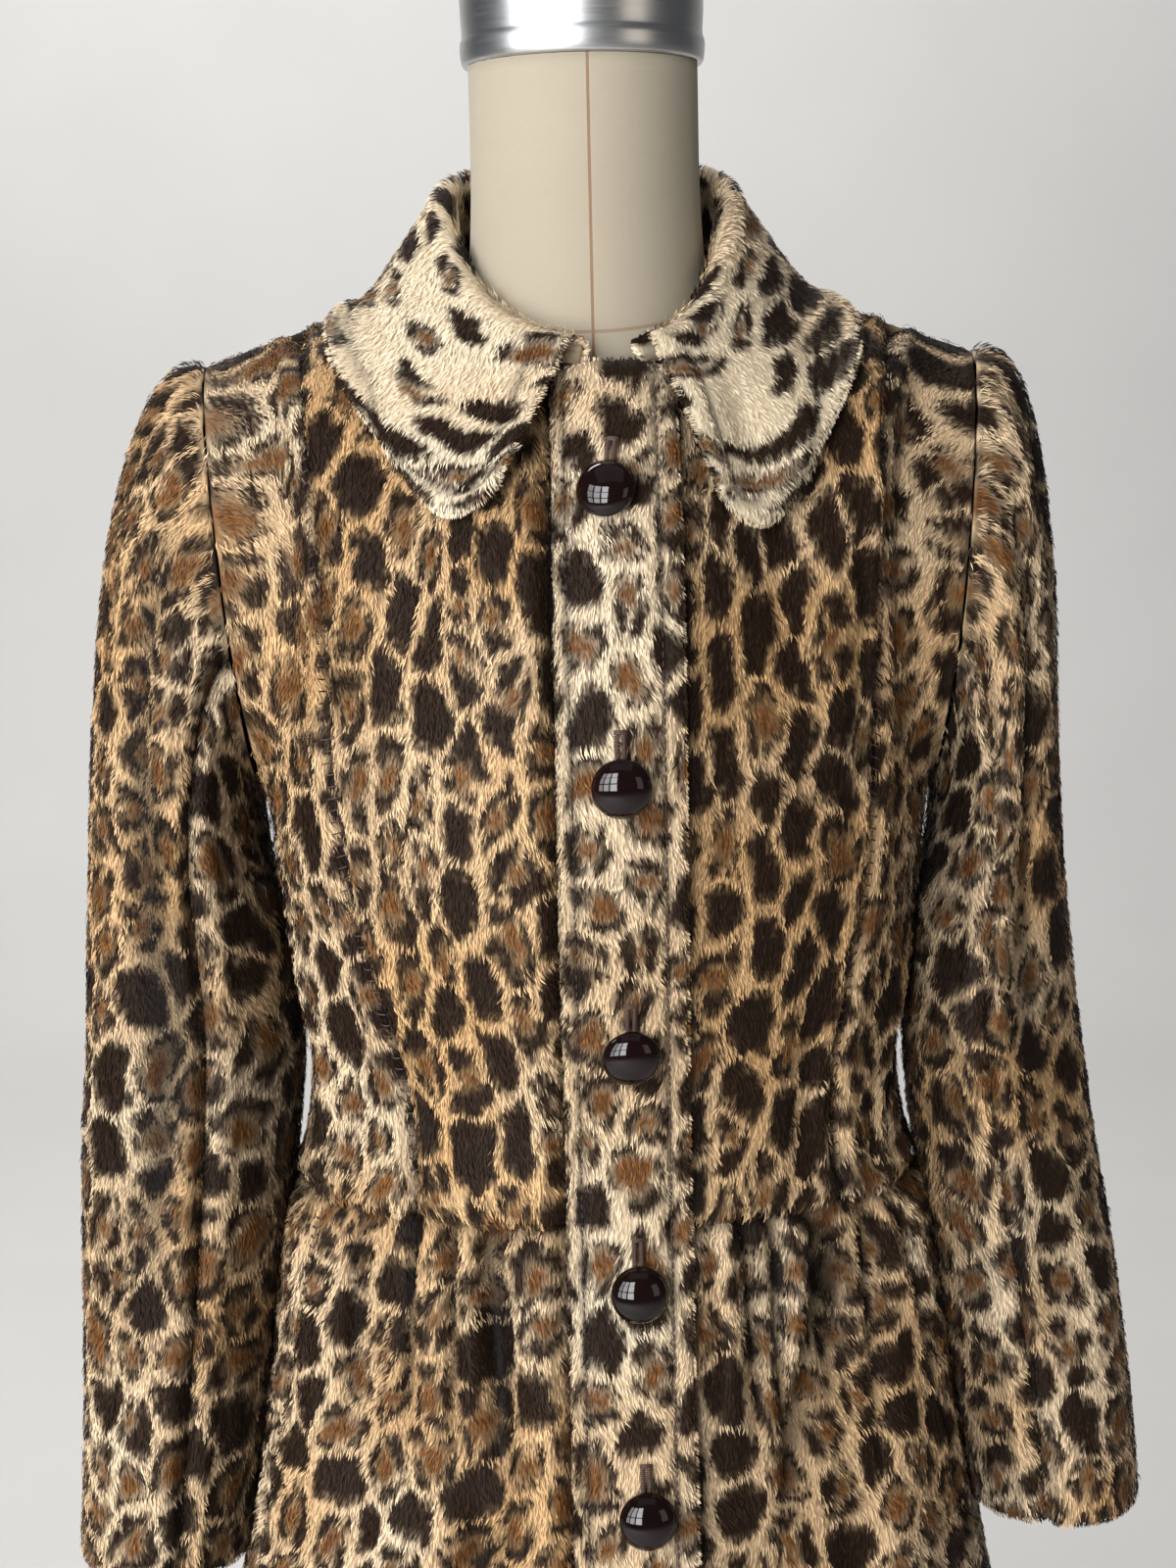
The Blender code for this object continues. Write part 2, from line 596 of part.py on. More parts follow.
def button_band(group):
    """Band down the front edge: points of the fronts and skirts moved out, in a step beside the underlap."""
    across = np.concatenate((np.linspace(BAND_LEFT, LAP_X[0], 4)[:-1], LAP_X))
    low = skirt_rows()[:-1]
    skirt_part = skirt_sheet(np.array([front_angle(x, low) for x in across]).T, low)
    column = (across - LAP_X[0]) / (NECK_SIDE[0] - LAP_X[0])
    rows = len(bodice_rows())
    upper_part = bodice_sheet(np.repeat(column[None, :], rows, axis=0), LAP_X[0], CLOSING_X)
    points = np.concatenate((skirt_part[0], upper_part[0]))
    facing = np.concatenate((skirt_part[1], upper_part[1]))
    step = np.clip((across - BAND_LEFT) / (LAP_X[0] - BAND_LEFT), 0, 1)
    lift = ((WALL + SEAM) * step * step * (3 - 2 * step))[None, :, None]
    return wall("button_band", points + lift * facing, points + (lift - WALL) * facing, "band_fur", group)


def surface_tree(shapes):
    """Search tree over the faces of some objects."""
    points, faces = [], []
    for shape in shapes:
        start = len(points)
        points.extend(vertex.co.copy() for vertex in shape.data.vertices)
        faces.extend([start + i for i in face.vertices] for face in shape.data.polygons)
    return BVHTree.FromPolygons(points, faces)


def collar_section(side, station):
    """Middle line of stand and roll at one station, the fall's straight line, and the stand's normal."""
    sign = 1.0 if side == "left" else -1.0
    closing = sign * CLOSING_X
    lead = closing if station < 1 else 0.0
    column = neck_column(station, closing, closing)
    ends = (column - 0.01, min(column + 0.01, 1)) if station < 1 else (max(column - 0.01, 5), column + 0.01)
    run = top_edge(np.array(ends), lead, closing)
    facing = level(np.cross(run[1] - run[0], (0.0, 0.0, 1.0)))
    up = np.array((0.0, 0.0, 1.0))
    stand, roll, *edge = (float(through(COLLAR, "station", name, station)) for name in CollarRow._fields[1:])
    out = closing + COLLAR_TIP_OUT[side]
    edge = np.array(edge) + max(0.0, 1 - station) * np.array((out, 0, COLLAR_TIP_RISE[side]))
    foot = top_edge(np.array([column]), lead, closing)[0] - facing * (WALL / 2 + SEAM) + up * 2 * SEAM
    head = foot + up * stand
    out = level(edge - head)
    line = [foot, (foot + head) / 2, head]
    for turn in (45, 90, 135, 180):
        angle = math.radians(turn)
        line.append(head + roll * (out * (1 - math.cos(angle)) + up * math.sin(angle)))
    fall = [line[-1] + (edge - line[-1]) * share for share in np.linspace(0, 1, FALL_ROWS + 1)[1:]]
    return [mirrored(np.array(part), side) for part in (line, fall, facing)]


def coat_tree():
    """Search tree over both smooth halves of the bodice's upper part, finer than the solids."""
    points, faces = [], []
    for side in ("left", "right"):
        lead = LAP_X[0] if side == "left" else -BAND_LEFT
        closing = CLOSING_X if side == "left" else -CLOSING_X
        column, rise = np.meshgrid(np.linspace(-0.2, 6, 150), np.linspace(1, 2, 50))
        grid = mirrored(bodice(column, rise, lead, closing), side)
        index = len(points) + np.arange(column.size).reshape(column.shape)
        points.extend(Vector(p) for p in grid.reshape(-1, 3))
        corners = (index[:-1, :-1], index[:-1, 1:], index[1:, 1:], index[1:, :-1])
        faces.extend(np.stack(corners, axis=-1).reshape(-1, 4).tolist())
    return BVHTree.FromPolygons(points, faces)


def laid_on(fall, tree):
    """Fall moved along rays from the chest's middle to lie clear of the coat, and higher over the band."""
    ray = fall - np.array(CHEST_MIDDLE)
    reach = np.linalg.norm(ray, axis=-1)
    ray = unit(ray)
    clear = 0 * reach
    for place in np.ndindex(reach.shape):
        direction = Vector(ray[place])
        spot, facing, face, distance = tree.ray_cast(Vector(CHEST_MIDDLE) + direction * 0.6, -direction, 0.6)
        if spot is None:
            continue
        over_band = np.clip((COLLAR_BAND_REACH - abs(spot.x - LAP_X[2])) / 0.03, 0, 1)
        away = WALL / 2 + COLLAR_CLEAR + (WALL + SEAM) * over_band ** 2 * (3 - 2 * over_band)
        clear[place] = 0.6 - distance + away / max(0.5, abs(facing.dot(direction)))
    reach = np.maximum(reach, clear)
    reach[:, -1] = clear[:, -1]
    return np.array(CHEST_MIDDLE) + ray * reach[..., None]


def collar(group):
    """Collar from the right front end around the back to the left front end."""
    stations = np.concatenate((spaced((0.0, 0), (0.12, 3)), (0.19, 0.295), NECK_STATIONS))
    sections = [collar_section("right", station) for station in stations]
    sections += [collar_section("left", station) for station in stations[-2::-1]]
    line, fall, feet = (np.array(part) for part in zip(*sections))
    middle = np.concatenate((line, laid_on(fall, coat_tree())), axis=1)
    facing = unit(np.cross(np.gradient(middle, axis=0), np.gradient(middle, axis=1)))
    facing *= np.sign(np.sum(facing[:, 1] * feet, axis=-1).mean())
    facing[:, 0] = feet
    return wall("collar", middle + facing * WALL / 2, middle - facing * WALL / 2, "fur", group)


def buttons(band, group):
    """Domed shank buttons on the band, down the closing."""
    tree = surface_tree([band])
    profile = [(0.0, 0.0118)]
    for turn in (25, 50, 72):
        angle = math.radians(turn)
        profile.append((BUTTON_RADIUS * math.sin(angle), 0.0045 + 0.0073 * math.cos(angle)))
    profile += [
        (BUTTON_RADIUS, 0.0043),
        (BUTTON_RADIUS, 0.0030),
        (0.0115, 0.0018),
        (0.0040, 0.0016),
        (0.0040, 0.0),
        (0.0, 0.0),
    ]
    for number, height in enumerate(BUTTON_HEIGHTS, start=1):
        x = CLOSING_X + CLOSING_DRIFT * (1.2 - height)
        spot, facing, face, distance = tree.ray_cast(Vector((x, -1.0, height)), Vector((0, 1, 0)))
        shape = turned("button_" + str(number), profile, 16, "button", group)
        shape.location = spot + 1.2 * SEAM * facing
        shape.rotation_mode = "QUATERNION"
        shape.rotation_quaternion = facing.to_track_quat("Z", "Y")


def form_neck(loop):
    """Rows of the neck, from the loop where it leaves the shoulders up to the level cut."""
    rows = [loop]
    for share in (0.1, 0.25, 0.45, 0.7, 1.0):
        z = loop[:, 2] + (NECK_TOP - loop[:, 2]) * share
        radius = NECK_RADIUS + NECK_FLARE * np.clip((1.50 - z) / 0.05, 0, 2) ** 2
        angle = np.arctan2(loop[:, 0], -(loop[:, 1] - NECK_CENTRE_Y))
        rows.append(stack(radius * np.sin(angle), NECK_CENTRE_Y - radius * np.cos(angle), z))
    return np.array(rows)


def form_torso(group):
    """Torso of the form: the bodice's own surface moved in, closed at the arms, neck and hips."""
    steps = (FORM_NECK_STEPS, FORM_SHOULDER_STEPS, FORM_ARM_STEPS)
    stops = [(float(k), count) for k, count in enumerate((0,) + steps + steps[::-1])]
    columns, rise = np.meshgrid(spaced(*stops), bodice_rows())
    outer = bodice(columns, rise)
    facing = normals(bodice, columns, rise, (0, 6), (0, 2))
    from_middle = np.abs(np.abs(columns - 3) - 1.5)
    seated = np.clip((0.45 - from_middle) / 0.2, 0, 1) * np.clip((rise - 1.8) / 0.2, 0, 1)
    ease = FORM_EASE + (SEAM - FORM_EASE) * seated
    sheet = outer - facing * (WALL + ease)[..., None]
    sheet[:, (0, -1), 0] = 0
    first, tip = FORM_NECK_STEPS, FORM_NECK_STEPS + FORM_SHOULDER_STEPS
    shoulder = (sheet[-1, first:tip + 1] + sheet[-1, ::-1][first:tip + 1]) / 2
    sheet[-1, first:tip + 1] = shoulder
    sheet[-1, ::-1][first:tip + 1] = shoulder
    low = np.array([row.height for row in FORM_HIPS])
    angles = np.radians(straight(COLUMNS, "column", "waist_angle", columns[0]))
    hips = ring(FORM_HIPS, np.repeat(angles[None, :], len(low), axis=0), low[:, None])
    half = np.concatenate((hips, sheet))
    work = bmesh.new()
    for grid in (half, form_neck(half[-1, :first + 1]), form_neck(half[-1, -first - 1:])):
        for side in ("left", "right"):
            points = [[work.verts.new(p) for p in row] for row in mirrored(grid, side)]
            for lower, upper in zip(points, points[1:]):
                for k in range(len(lower) - 1):
                    work.faces.new((lower[k], lower[k + 1], upper[k + 1], upper[k]))
    bmesh.ops.remove_doubles(work, verts=work.verts, dist=0.00002)
    edges = [edge for edge in work.edges if edge.is_boundary]
    caps = bmesh.ops.holes_fill(work, edges=edges, sides=0)["faces"]
    bmesh.ops.poke(work, faces=caps)
    bmesh.ops.recalc_face_normals(work, faces=work.faces)
    mesh = bpy.data.meshes.new("form_torso")
    work.to_mesh(mesh)
    work.free()
    return add_object("form_torso", mesh, "linen", group)


def stand(group):
    """Neck cap, pole and base of the form."""
    cap = turned("form_neck_cap", [
        (0.0, 0.086),
        (0.022, 0.084),
        (0.042, 0.077),
        (0.054, 0.065),
        (0.0583, 0.050),
        (0.0586, 0.036),
        (0.0575, 0.015),
        (0.0566, 0.0),
        (0.0, 0.0),
    ], 32, "metal", group)
    cap.location = (0, NECK_CENTRE_Y, NECK_TOP + SEAM)
    turned("form_base", [
        (0.0, BASE_TOP),
        (0.024, BASE_TOP),
        (0.030, 0.026),
        (0.150, 0.017),
        (0.180, 0.012),
        (0.190, 0.006),
        (0.190, 0.0),
        (0.0, 0.0),
    ], 32, "stand", group)
    bottom, top = BASE_TOP + SEAM, FORM_BOTTOM - SEAM
    mesh = bpy.data.meshes.new("form_pole")
    work = bmesh.new()
    bmesh.ops.create_cone(
        work, cap_ends=True, segments=24, radius1=POLE_RADIUS, radius2=POLE_RADIUS, depth=top - bottom
    )
    work.to_mesh(mesh)
    work.free()
    pole = add_object("form_pole", mesh, "stand", group)
    pole.location = (0, 0, (top + bottom) / 2)


def material(name, colour):
    made = bpy.data.materials.new(name)
    made.use_nodes = True
    shader = made.node_tree.nodes["Principled BSDF"]
    shader.inputs["Base Color"].default_value = colour
    shader.inputs["Roughness"].default_value = 0.3 if name in ("button", "metal") else 0.8
    shader.inputs["Metallic"].default_value = 1.0 if name == "metal" else 0.0
    return made


for old in list(bpy.data.objects):
    bpy.data.objects.remove(old)

GROUP = bpy.data.collections.new("faux_fur_coat")
bpy.context.scene.collection.children.link(GROUP)
ROOT = bpy.data.objects.new("faux_fur_coat", None)
GROUP.objects.link(ROOT)
MATERIALS = {name: material(name, colour) for name, colour in COLOURS.items()}

for SIDE in ("left", "right"):
    fronts(SIDE, GROUP)
    sleeves(SIDE, GROUP)
back(GROUP)
collar(GROUP)
BAND = button_band(GROUP)
skirts(GROUP)
buttons(BAND, GROUP)
form_torso(GROUP)
stand(GROUP)
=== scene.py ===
"""Looks of a leopard-print faux fur coat on its dress form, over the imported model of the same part.

Metres, +Z up, front at -Y, wearer's left at +X. Each cloth piece is a thin shell, with a pile of short
bent blades that grows from it and ends where the solid's outer face is. The surfaces repeat the part's own
formulas on finer grids. Grids have rows along the first axis and columns along the second.
"""

import math
from collections import namedtuple

import bmesh
import bpy
import numpy as np
from mathutils import Matrix, Vector
from mathutils.bvhtree import BVHTree


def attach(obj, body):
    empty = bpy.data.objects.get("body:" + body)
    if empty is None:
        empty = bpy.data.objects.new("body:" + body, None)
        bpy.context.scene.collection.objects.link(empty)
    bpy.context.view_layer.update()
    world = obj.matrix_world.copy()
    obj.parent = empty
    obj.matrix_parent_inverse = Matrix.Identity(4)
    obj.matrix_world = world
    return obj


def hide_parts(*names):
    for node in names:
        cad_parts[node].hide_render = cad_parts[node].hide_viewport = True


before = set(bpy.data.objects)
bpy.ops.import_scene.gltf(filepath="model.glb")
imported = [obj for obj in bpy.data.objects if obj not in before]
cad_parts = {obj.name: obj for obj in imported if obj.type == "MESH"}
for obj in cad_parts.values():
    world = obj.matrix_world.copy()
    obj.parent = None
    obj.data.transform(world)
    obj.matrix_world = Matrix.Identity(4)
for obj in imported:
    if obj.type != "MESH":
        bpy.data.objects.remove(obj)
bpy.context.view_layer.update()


def table(columns, rows):
    """Rows of numbers with named columns."""
    kind = namedtuple("Row", columns)
    return [kind(*row) for row in rows]


# Cloth: the wall to the pile's tips, the gap at seams, the pile over its backing, and what a seam takes up
WALL = 0.006
SEAM = 0.0003
PILE_DEPTH = 0.0024
ALLOWANCE = 0.01
WAIST = 1.00
HEM = 0.47
CHEST = 1.15

# Radii by which angles around body and skirt become widths, and the pile's room between body and sleeve
BODY_RADIUS = 0.155
SKIRT_RADIUS = 0.16
ARM_ROOM = 0.0044

# Rows of the bodice, up to the chest line and above it
CHEST_ROWS = 21
RISES = np.concatenate((np.linspace(0, 1, CHEST_ROWS), np.linspace(1, 1.998, 41)[1:]))

# Sides of a grid, and the first number of each panel's random draws
SIDES = ("first_column", "last_column", "first_row", "last_row")
SEEDS = {name: 11 + 10 * place for place, name in enumerate((
    "front_left", "front_right", "side_front_left", "side_front_right", "back_bodice",
    "skirt_front_left", "skirt_front_right", "skirt_back",
    "upper_sleeve_left", "upper_sleeve_right", "under_sleeve_left", "under_sleeve_right",
    "button_band", "collar",
))}

# Neckline, shoulder and armhole of the wearer's left half
NECK_FRONT = (0.0, -0.083, 1.398)
NECK_SIDE = (0.068, 0.004, 1.445)
NECK_BACK = (0.0, 0.064, 1.455)
SHOULDER_TIP = (0.1877, 0.012, 1.4035)
UNDERARM = (0.166, 0.002, 1.195)
NECK_SPREAD = 0.026
ARMHOLE_FRONT_REACH = 0.064
ARMHOLE_BACK_REACH = 0.055

# Closing, with the band's top and the distance of its topstitches from the edges
CLOSING_X = 0.010
CLOSING_DRIFT = 0.0142
BAND_LEFT = -0.0205
LAP_START = -0.0105
LAP_END = 0.0375
BAND_TOP = 1.3985
TOPSTITCH = 0.0085
CLOSING = {"left": CLOSING_X, "right": -CLOSING_X}
LEAD = {"left": LAP_START, "right": -BAND_LEFT}
BUTTON_HEIGHTS = (1.340, 1.214, 1.0875, 0.970, 0.866, 0.764, 0.662)

# Princess seams, as body columns at the waist, the chest line and the shoulder
PRINCESS = {"left": (1.88, 1.80, 1.69), "right": (1.60, 1.63, 1.63)}

# Sleeves, by the turn around the armhole in degrees
GATHER_COUNT = 6
GATHER_DEPTH = 0.0022
GATHER_SPREAD = 66.0
SLEEVE_FRONT_SEAM = 110.0
SLEEVE_BACK_SEAM = -132.0
CUFF = {"left": 0.826, "right": 0.807}

# Collar
COLLAR_START = 0.0135
COLLAR_CLEAR = 0.0024
COLLAR_BAND_REACH = 0.058
COLLAR_BAND_MIDDLE = 0.0135
COLLAR_STITCH = 0.0125
COLLAR_TIP_RISE = {"left": 0.0, "right": 0.009}
COLLAR_TIP_OUT = {"left": 0.003, "right": 0.008}
CHEST_MIDDLE = (0.0005, -0.005, 1.30)
RAY_REACH = 0.6

# Dress form
FORM_EASE = 0.015
NECK_FLARE = 0.0019
NECK_RADIUS = 0.0565
NECK_CENTRE_Y = -0.004
NECK_TOP = 1.541
FORM_BOTTOM = 0.79
HIPS_TOP = 0.98
POLE_RADIUS = 0.0127
BASE_TOP = 0.0317

RING = "height half_width front back"
BODY = table(RING, (
    (0.47, 0.248, 0.200, 0.220),
    (0.62, 0.222, 0.172, 0.192),
    (0.78, 0.190, 0.148, 0.164),
    (0.90, 0.1725, 0.130, 0.140),
    (1.00, 0.158, 0.116, 0.114),
    (1.04, 0.149, 0.115, 0.110),
    (1.11, 0.154, 0.128, 0.116),
    (1.19, 0.167, 0.145, 0.124),
))

FORM_HIPS = table(RING, (
    (0.79, 0.120, 0.090, 0.100),
    (0.795, 0.138, 0.104, 0.117),
    (0.81, 0.146, 0.110, 0.124),
    (0.86, 0.152, 0.113, 0.126),
    (0.93, 0.146, 0.106, 0.112),
    (0.98, 0.139, 0.100, 0.098),
))

# Columns run from the front edge (0) over the side of the neck (1), the shoulder tip (2), the underarm (3),
# the shoulder tip again (4) and the side of the neck again (5) to the centre back (6)
COLUMNS = table("column waist_angle chest_angle lean out", (
    (0.0, 0.0, 0.0, 33.0, 0.0),
    (0.75, 19.0, 19.0, 50.0, 0.0),
    (1.0, 26.0, 25.1, 58.0, 0.0),
    (1.3, 30.5, 37.0, 74.0, 0.0),
    (1.6, 35.5, 49.0, 90.0, 0.0),
    (1.8, 43.5, 53.0, 90.0, 0.35),
    (2.0, 52.0, 57.0, 90.0, 0.75),
    (2.12, 53.0, 60.0, 72.0, 1.0),
    (2.25, 54.5, 63.0, 55.0, 1.1),
    (2.5, 57.0, 69.0, 25.0, 1.0),
    (2.75, 59.5, 76.0, 8.0, 0.6),
    (3.0, 62.0, 86.0, 0.0, 0.1),
    (3.25, 71.0, 97.0, -8.0, 0.6),
    (3.5, 80.0, 109.0, -25.0, 1.0),
    (3.75, 90.0, 119.0, -55.0, 1.1),
    (3.88, 95.0, 124.0, -72.0, 1.0),
    (4.0, 100.0, 128.0, -90.0, 0.75),
    (4.2, 111.0, 132.5, -90.0, 0.35),
    (4.4, 122.0, 136.5, -90.0, 0.0),
    (4.7, 135.0, 142.0, -78.0, 0.0),
    (5.0, 146.0, 147.5, -60.0, 0.0),
    (5.1, 151.0, 152.0, -55.0, 0.0),
    (5.3, 159.0, 159.0, -47.0, 0.0),
    (6.0, 180.0, 180.0, -25.0, 0.0),
))

# Skirt folds: angles from the front, positive towards the wearer's left; depths run inwards
FOLDS = table("waist_angle hem_angle width waist_depth hem_depth", (
    (-44.0, -50.0, 5.5, 0.0070, 0.0050),
    (-32.0, -38.0, 4.5, 0.0045, 0.0030),
    (-21.0, -25.0, 5.0, 0.0080, 0.0060),
    (22.0, 26.0, 5.0, 0.0050, 0.0040),
    (32.0, 34.0, 5.0, 0.0040, 0.0020),
    (44.0, 36.0, 5.5, 0.0075, 0.0070),
    (-32.0, -32.0, 9.0, 0.0, -0.0100),
    (46.0, 50.0, 9.0, 0.0, -0.0110),
    (-64.0, -66.0, 9.0, 0.0, -0.0100),
    (100.0, 100.0, 12.0, 0.0, -0.0120),
    (-104.0, -104.0, 12.0, 0.0, -0.0120),
    (132.0, 130.0, 6.0, 0.0050, -0.0100),
    (144.0, 146.0, 5.5, 0.0060, 0.0060),
    (158.0, 160.0, 5.5, 0.0050, -0.0090),
    (172.0, 174.0, 5.5, 0.0060, 0.0060),
    (-172.0, -170.0, 5.5, 0.0050, -0.0090),
    (-158.0, -160.0, 5.5, 0.0060, 0.0050),
    (-144.0, -142.0, 5.5, 0.0050, 0.0060),
    (-131.0, -128.0, 6.0, 0.0060, -0.0100),
))

SKIRT_SIDE = table("height angle", (
    (0.47, 78.0),
    (0.80, 72.0),
    (1.00, 62.0),
))

SLEEVE = table("height inner half_left half_right centre_y half_depth", (
    (0.807, 0.1885, 0.04125, 0.04275, -0.022, 0.046),
    (0.92, 0.1725, 0.0445, 0.0480, -0.013, 0.054),
    (1.00, 0.1605, 0.04475, 0.05325, -0.006, 0.060),
    (1.08, 0.1548, 0.04235, 0.05335, 0.000, 0.066),
    (1.15, 0.1625, 0.0355, 0.0475, 0.004, 0.070),
))

# From the front end (0) past the side of the neck (1) to the centre back (2)
COLLAR = table("station stand roll edge_x edge_y edge_z", (
    (0.00, 0.006, 0.0085, 0.046, -0.126, 1.341),
    (0.05, 0.006, 0.0085, 0.057, -0.123, 1.330),
    (0.12, 0.006, 0.0082, 0.070, -0.118, 1.327),
    (0.25, 0.008, 0.0075, 0.088, -0.110, 1.341),
    (0.45, 0.013, 0.0062, 0.100, -0.095, 1.361),
    (0.70, 0.022, 0.0052, 0.110, -0.062, 1.388),
    (1.00, 0.032, 0.0050, 0.115, 0.010, 1.424),
    (1.30, 0.038, 0.0050, 0.101, 0.072, 1.423),
    (1.65, 0.040, 0.0050, 0.058, 0.108, 1.416),
    (2.00, 0.040, 0.0050, 0.000, 0.118, 1.411),
))

# Print, in metres on the flat cloth: size of a rosette with its share of the ground, how many are solid,
# half width of the ground between them, how pale the ground is, and how many places hold a rosette at all;
# how round the corners are, and after how many places the lattice starts again
Print = namedtuple("Print", "width height solid line pale filled")
PRINTS = {
    "front": Print(0.0208, 0.0365, 0.46, 0.0011, 0.12, 1.00),
    "side": Print(0.0262, 0.0322, 0.24, 0.0013, 0.32, 1.00),
    "sleeve": Print(0.0275, 0.0312, 0.20, 0.0013, 0.30, 1.00),
    "skirt": Print(0.0248, 0.0300, 0.30, 0.0013, 0.32, 1.00),
    "band": Print(0.0245, 0.0305, 0.25, 0.0020, 0.72, 1.00),
    "collar": Print(0.0400, 0.0225, 0.47, 0.0030, 1.00, 0.72),
}
ROUNDING = 0.0020
LATTICE = 97

# Creases of the front, as soft troughs along lines between two points seen from the front
LINE = "start_x start_z end_x end_z width depth"
CREASES = table(LINE, (
    (-0.131, 1.385, -0.127, 1.215, 0.0075, 0.0054),
    (-0.118, 1.340, -0.109, 1.120, 0.0110, 0.0030),
    (-0.100, 1.105, -0.080, 1.012, 0.0060, 0.0035),
    (-0.120, 1.060, -0.128, 1.004, 0.0050, 0.0038),
    (-0.136, 1.045, -0.139, 1.004, 0.0045, 0.0035),
    (0.128, 1.340, 0.124, 1.180, 0.0080, 0.0038),
    (0.100, 1.110, 0.092, 1.010, 0.0070, 0.0032),
    (0.134, 1.060, 0.131, 1.004, 0.0050, 0.0035),
    (0.062, 1.300, 0.060, 1.160, 0.0120, 0.0020),
))

# Pleats below the waist seam, in the same way; a negative depth is a ridge
PLEATS = table(LINE, (
    (-0.099, 1.012, -0.103, 0.883, 0.0060, 0.0121),
    (-0.090, 1.005, -0.091, 0.873, 0.0050, -0.0046),
    (-0.079, 1.012, -0.076, 0.878, 0.0050, 0.0098),
    (-0.069, 1.005, -0.068, 0.868, 0.0050, -0.0046),
    (-0.059, 1.012, -0.055, 0.838, 0.0065, 0.0098),
    (-0.048, 1.010, -0.030, 0.873, 0.0070, -0.0069),
    (-0.124, 1.012, -0.133, 0.858, 0.0065, 0.0080),
    (0.055, 1.010, 0.059, 0.868, 0.0060, -0.0046),
    (0.063, 1.012, 0.071, 0.873, 0.0050, 0.0092),
    (0.080, 1.012, 0.085, 0.858, 0.0050, 0.0086),
    (0.088, 1.005, 0.091, 0.868, 0.0055, -0.0046),
    (0.097, 1.014, 0.111, 0.908, 0.0060, 0.0098),
    (0.107, 0.985, 0.074, 0.820, 0.0080, 0.0090),
    (0.126, 1.012, 0.133, 0.838, 0.0065, 0.0086),
    (0.030, 0.900, 0.050, 0.700, 0.0120, 0.0060),
    (-0.066, 0.860, -0.080, 0.640, 0.0130, 0.0067),
))

# Creases of the sleeves, in degrees around the armhole and by the run down the sleeve; a run of 1 counts as
# so many degrees, and all depths are raised by one share
RUN_DEGREES = 40.0
SLEEVE_CREASE_SHARE = 1.45
SLEEVE_CREASES = table("side start_turn start_run end_turn end_run width depth", (
    ("right", 62.0, 0.10, 84.0, 1.10, 10.0, 0.0053),
    ("right", 20.0, 0.05, 34.0, 0.85, 8.0, 0.0033),
    ("right", 100.0, 0.85, 62.0, 1.05, 9.0, 0.0039),
    ("right", 118.0, 1.15, 70.0, 1.32, 9.0, 0.0045),
    ("right", 40.0, 1.55, 96.0, 1.42, 9.0, 0.0033),
    ("left", 58.0, 0.10, 78.0, 1.00, 10.0, 0.0053),
    ("left", 22.0, 0.05, 40.0, 0.70, 8.0, 0.0033),
    ("left", 104.0, 0.95, 60.0, 1.12, 9.0, 0.0039),
    ("left", 34.0, 1.30, 100.0, 1.20, 9.0, 0.0036),
    ("left", 60.0, 1.66, 112.0, 1.52, 9.0, 0.0030),
    ("right", -60.0, 0.15, -80.0, 1.05, 11.0, 0.0045),
    ("left", -62.0, 0.15, -78.0, 1.00, 11.0, 0.0045),
))

# How far each kind of edge is pressed in, and how widely: plain seams, the bodice over the skirt, set-in
# seams that the pile covers, the skirt's gathered seam, and free edges
PRESSED = {
    "sewn": (0.0052, 0.0042), "over": (0.0030, 0.0025), "set": (0.0006, 0.0040),
    "gathered": (0.0065, 0.0075), "free": (0.0006, 0.0040),
}

# The ridge beside such an edge: height, distance and width
BESIDE = {"sewn": (0.0018, 0.0085, 0.0038), "over": (0.0028, 0.0075, 0.0048)}

# The limit that all pressing in comes near to, and the depth of a crease where its pile is wholly flat and
# its painted shade deepest
DEEPEST = 0.0098
FLAT_DEPTH = 0.0085

# Blades of the pile for each square metre, where the photograph's side sees them and elsewhere, and for
# each metre of a free edge; and their size
DENSE = 438000.0
SPARSE = 36000.0
RIM = 3200.0
BLADE_LENGTH = 0.0054
BLADE_WIDTH = 0.00066

# Heights where the camera's frame ends
FRAME_FOOT = (0.765, 0.780)

# Sewing thread: radii, how far a seam's cross stitches reach to both sides and stand out, the pitch and
# length of topstitches, and a buttonhole above its button: start, pitch and number of stitches, and its bar
HOLE_THREAD = 0.00042
BAND_THREAD = 0.00030
SEAM_THREAD = 0.00038
CROSS_REACH = 0.0036
CROSS_RISE = 0.0012
STITCH_PITCH = 0.0042
STITCH_LENGTH = 0.0031
HOLE_START = 0.0095
HOLE_PITCH = 0.0009
HOLE_STITCHES = 17
HOLE_BAR = 0.0245

# Camera: its place, how far it looks down and rolls in degrees, its focal length in heights of the frame,
# and the height of its sensor in millimetres
CAMERA_PLACE = (-0.005, -1.30, 1.387)
CAMERA_DOWN = 8.5
CAMERA_ROLL = -1.27
CAMERA_FOCUS = 2680 / 1600
SENSOR = 24.0

# Window: its distance, and the size of its panes
WINDOW_FAR = 2.8
PANE = (0.78, 0.74)

Panel = namedtuple("Panel", "name points normals facing nap edges flat sunk stitched print seed")


def through(rows, key, value, at):
    """A cubic through one column of a table; the slope at each row is that of its two neighbours."""
    knots = np.array([getattr(row, key) for row in rows], dtype=float)
    values = np.array([getattr(row, value) for row in rows], dtype=float)
    slopes = np.gradient(values, knots)
    at = np.asarray(at, dtype=float)
    low = np.clip(np.searchsorted(knots, at, side="right") - 1, 0, len(knots) - 2)
    span = knots[low + 1] - knots[low]
    t = (at - knots[low]) / span
    rise = values[low + 1] - values[low]
    a = slopes[low] * span - rise
    b = rise - slopes[low + 1] * span
    return values[low] + t * rise + t * (1 - t) * (a * (1 - t) + b * t)


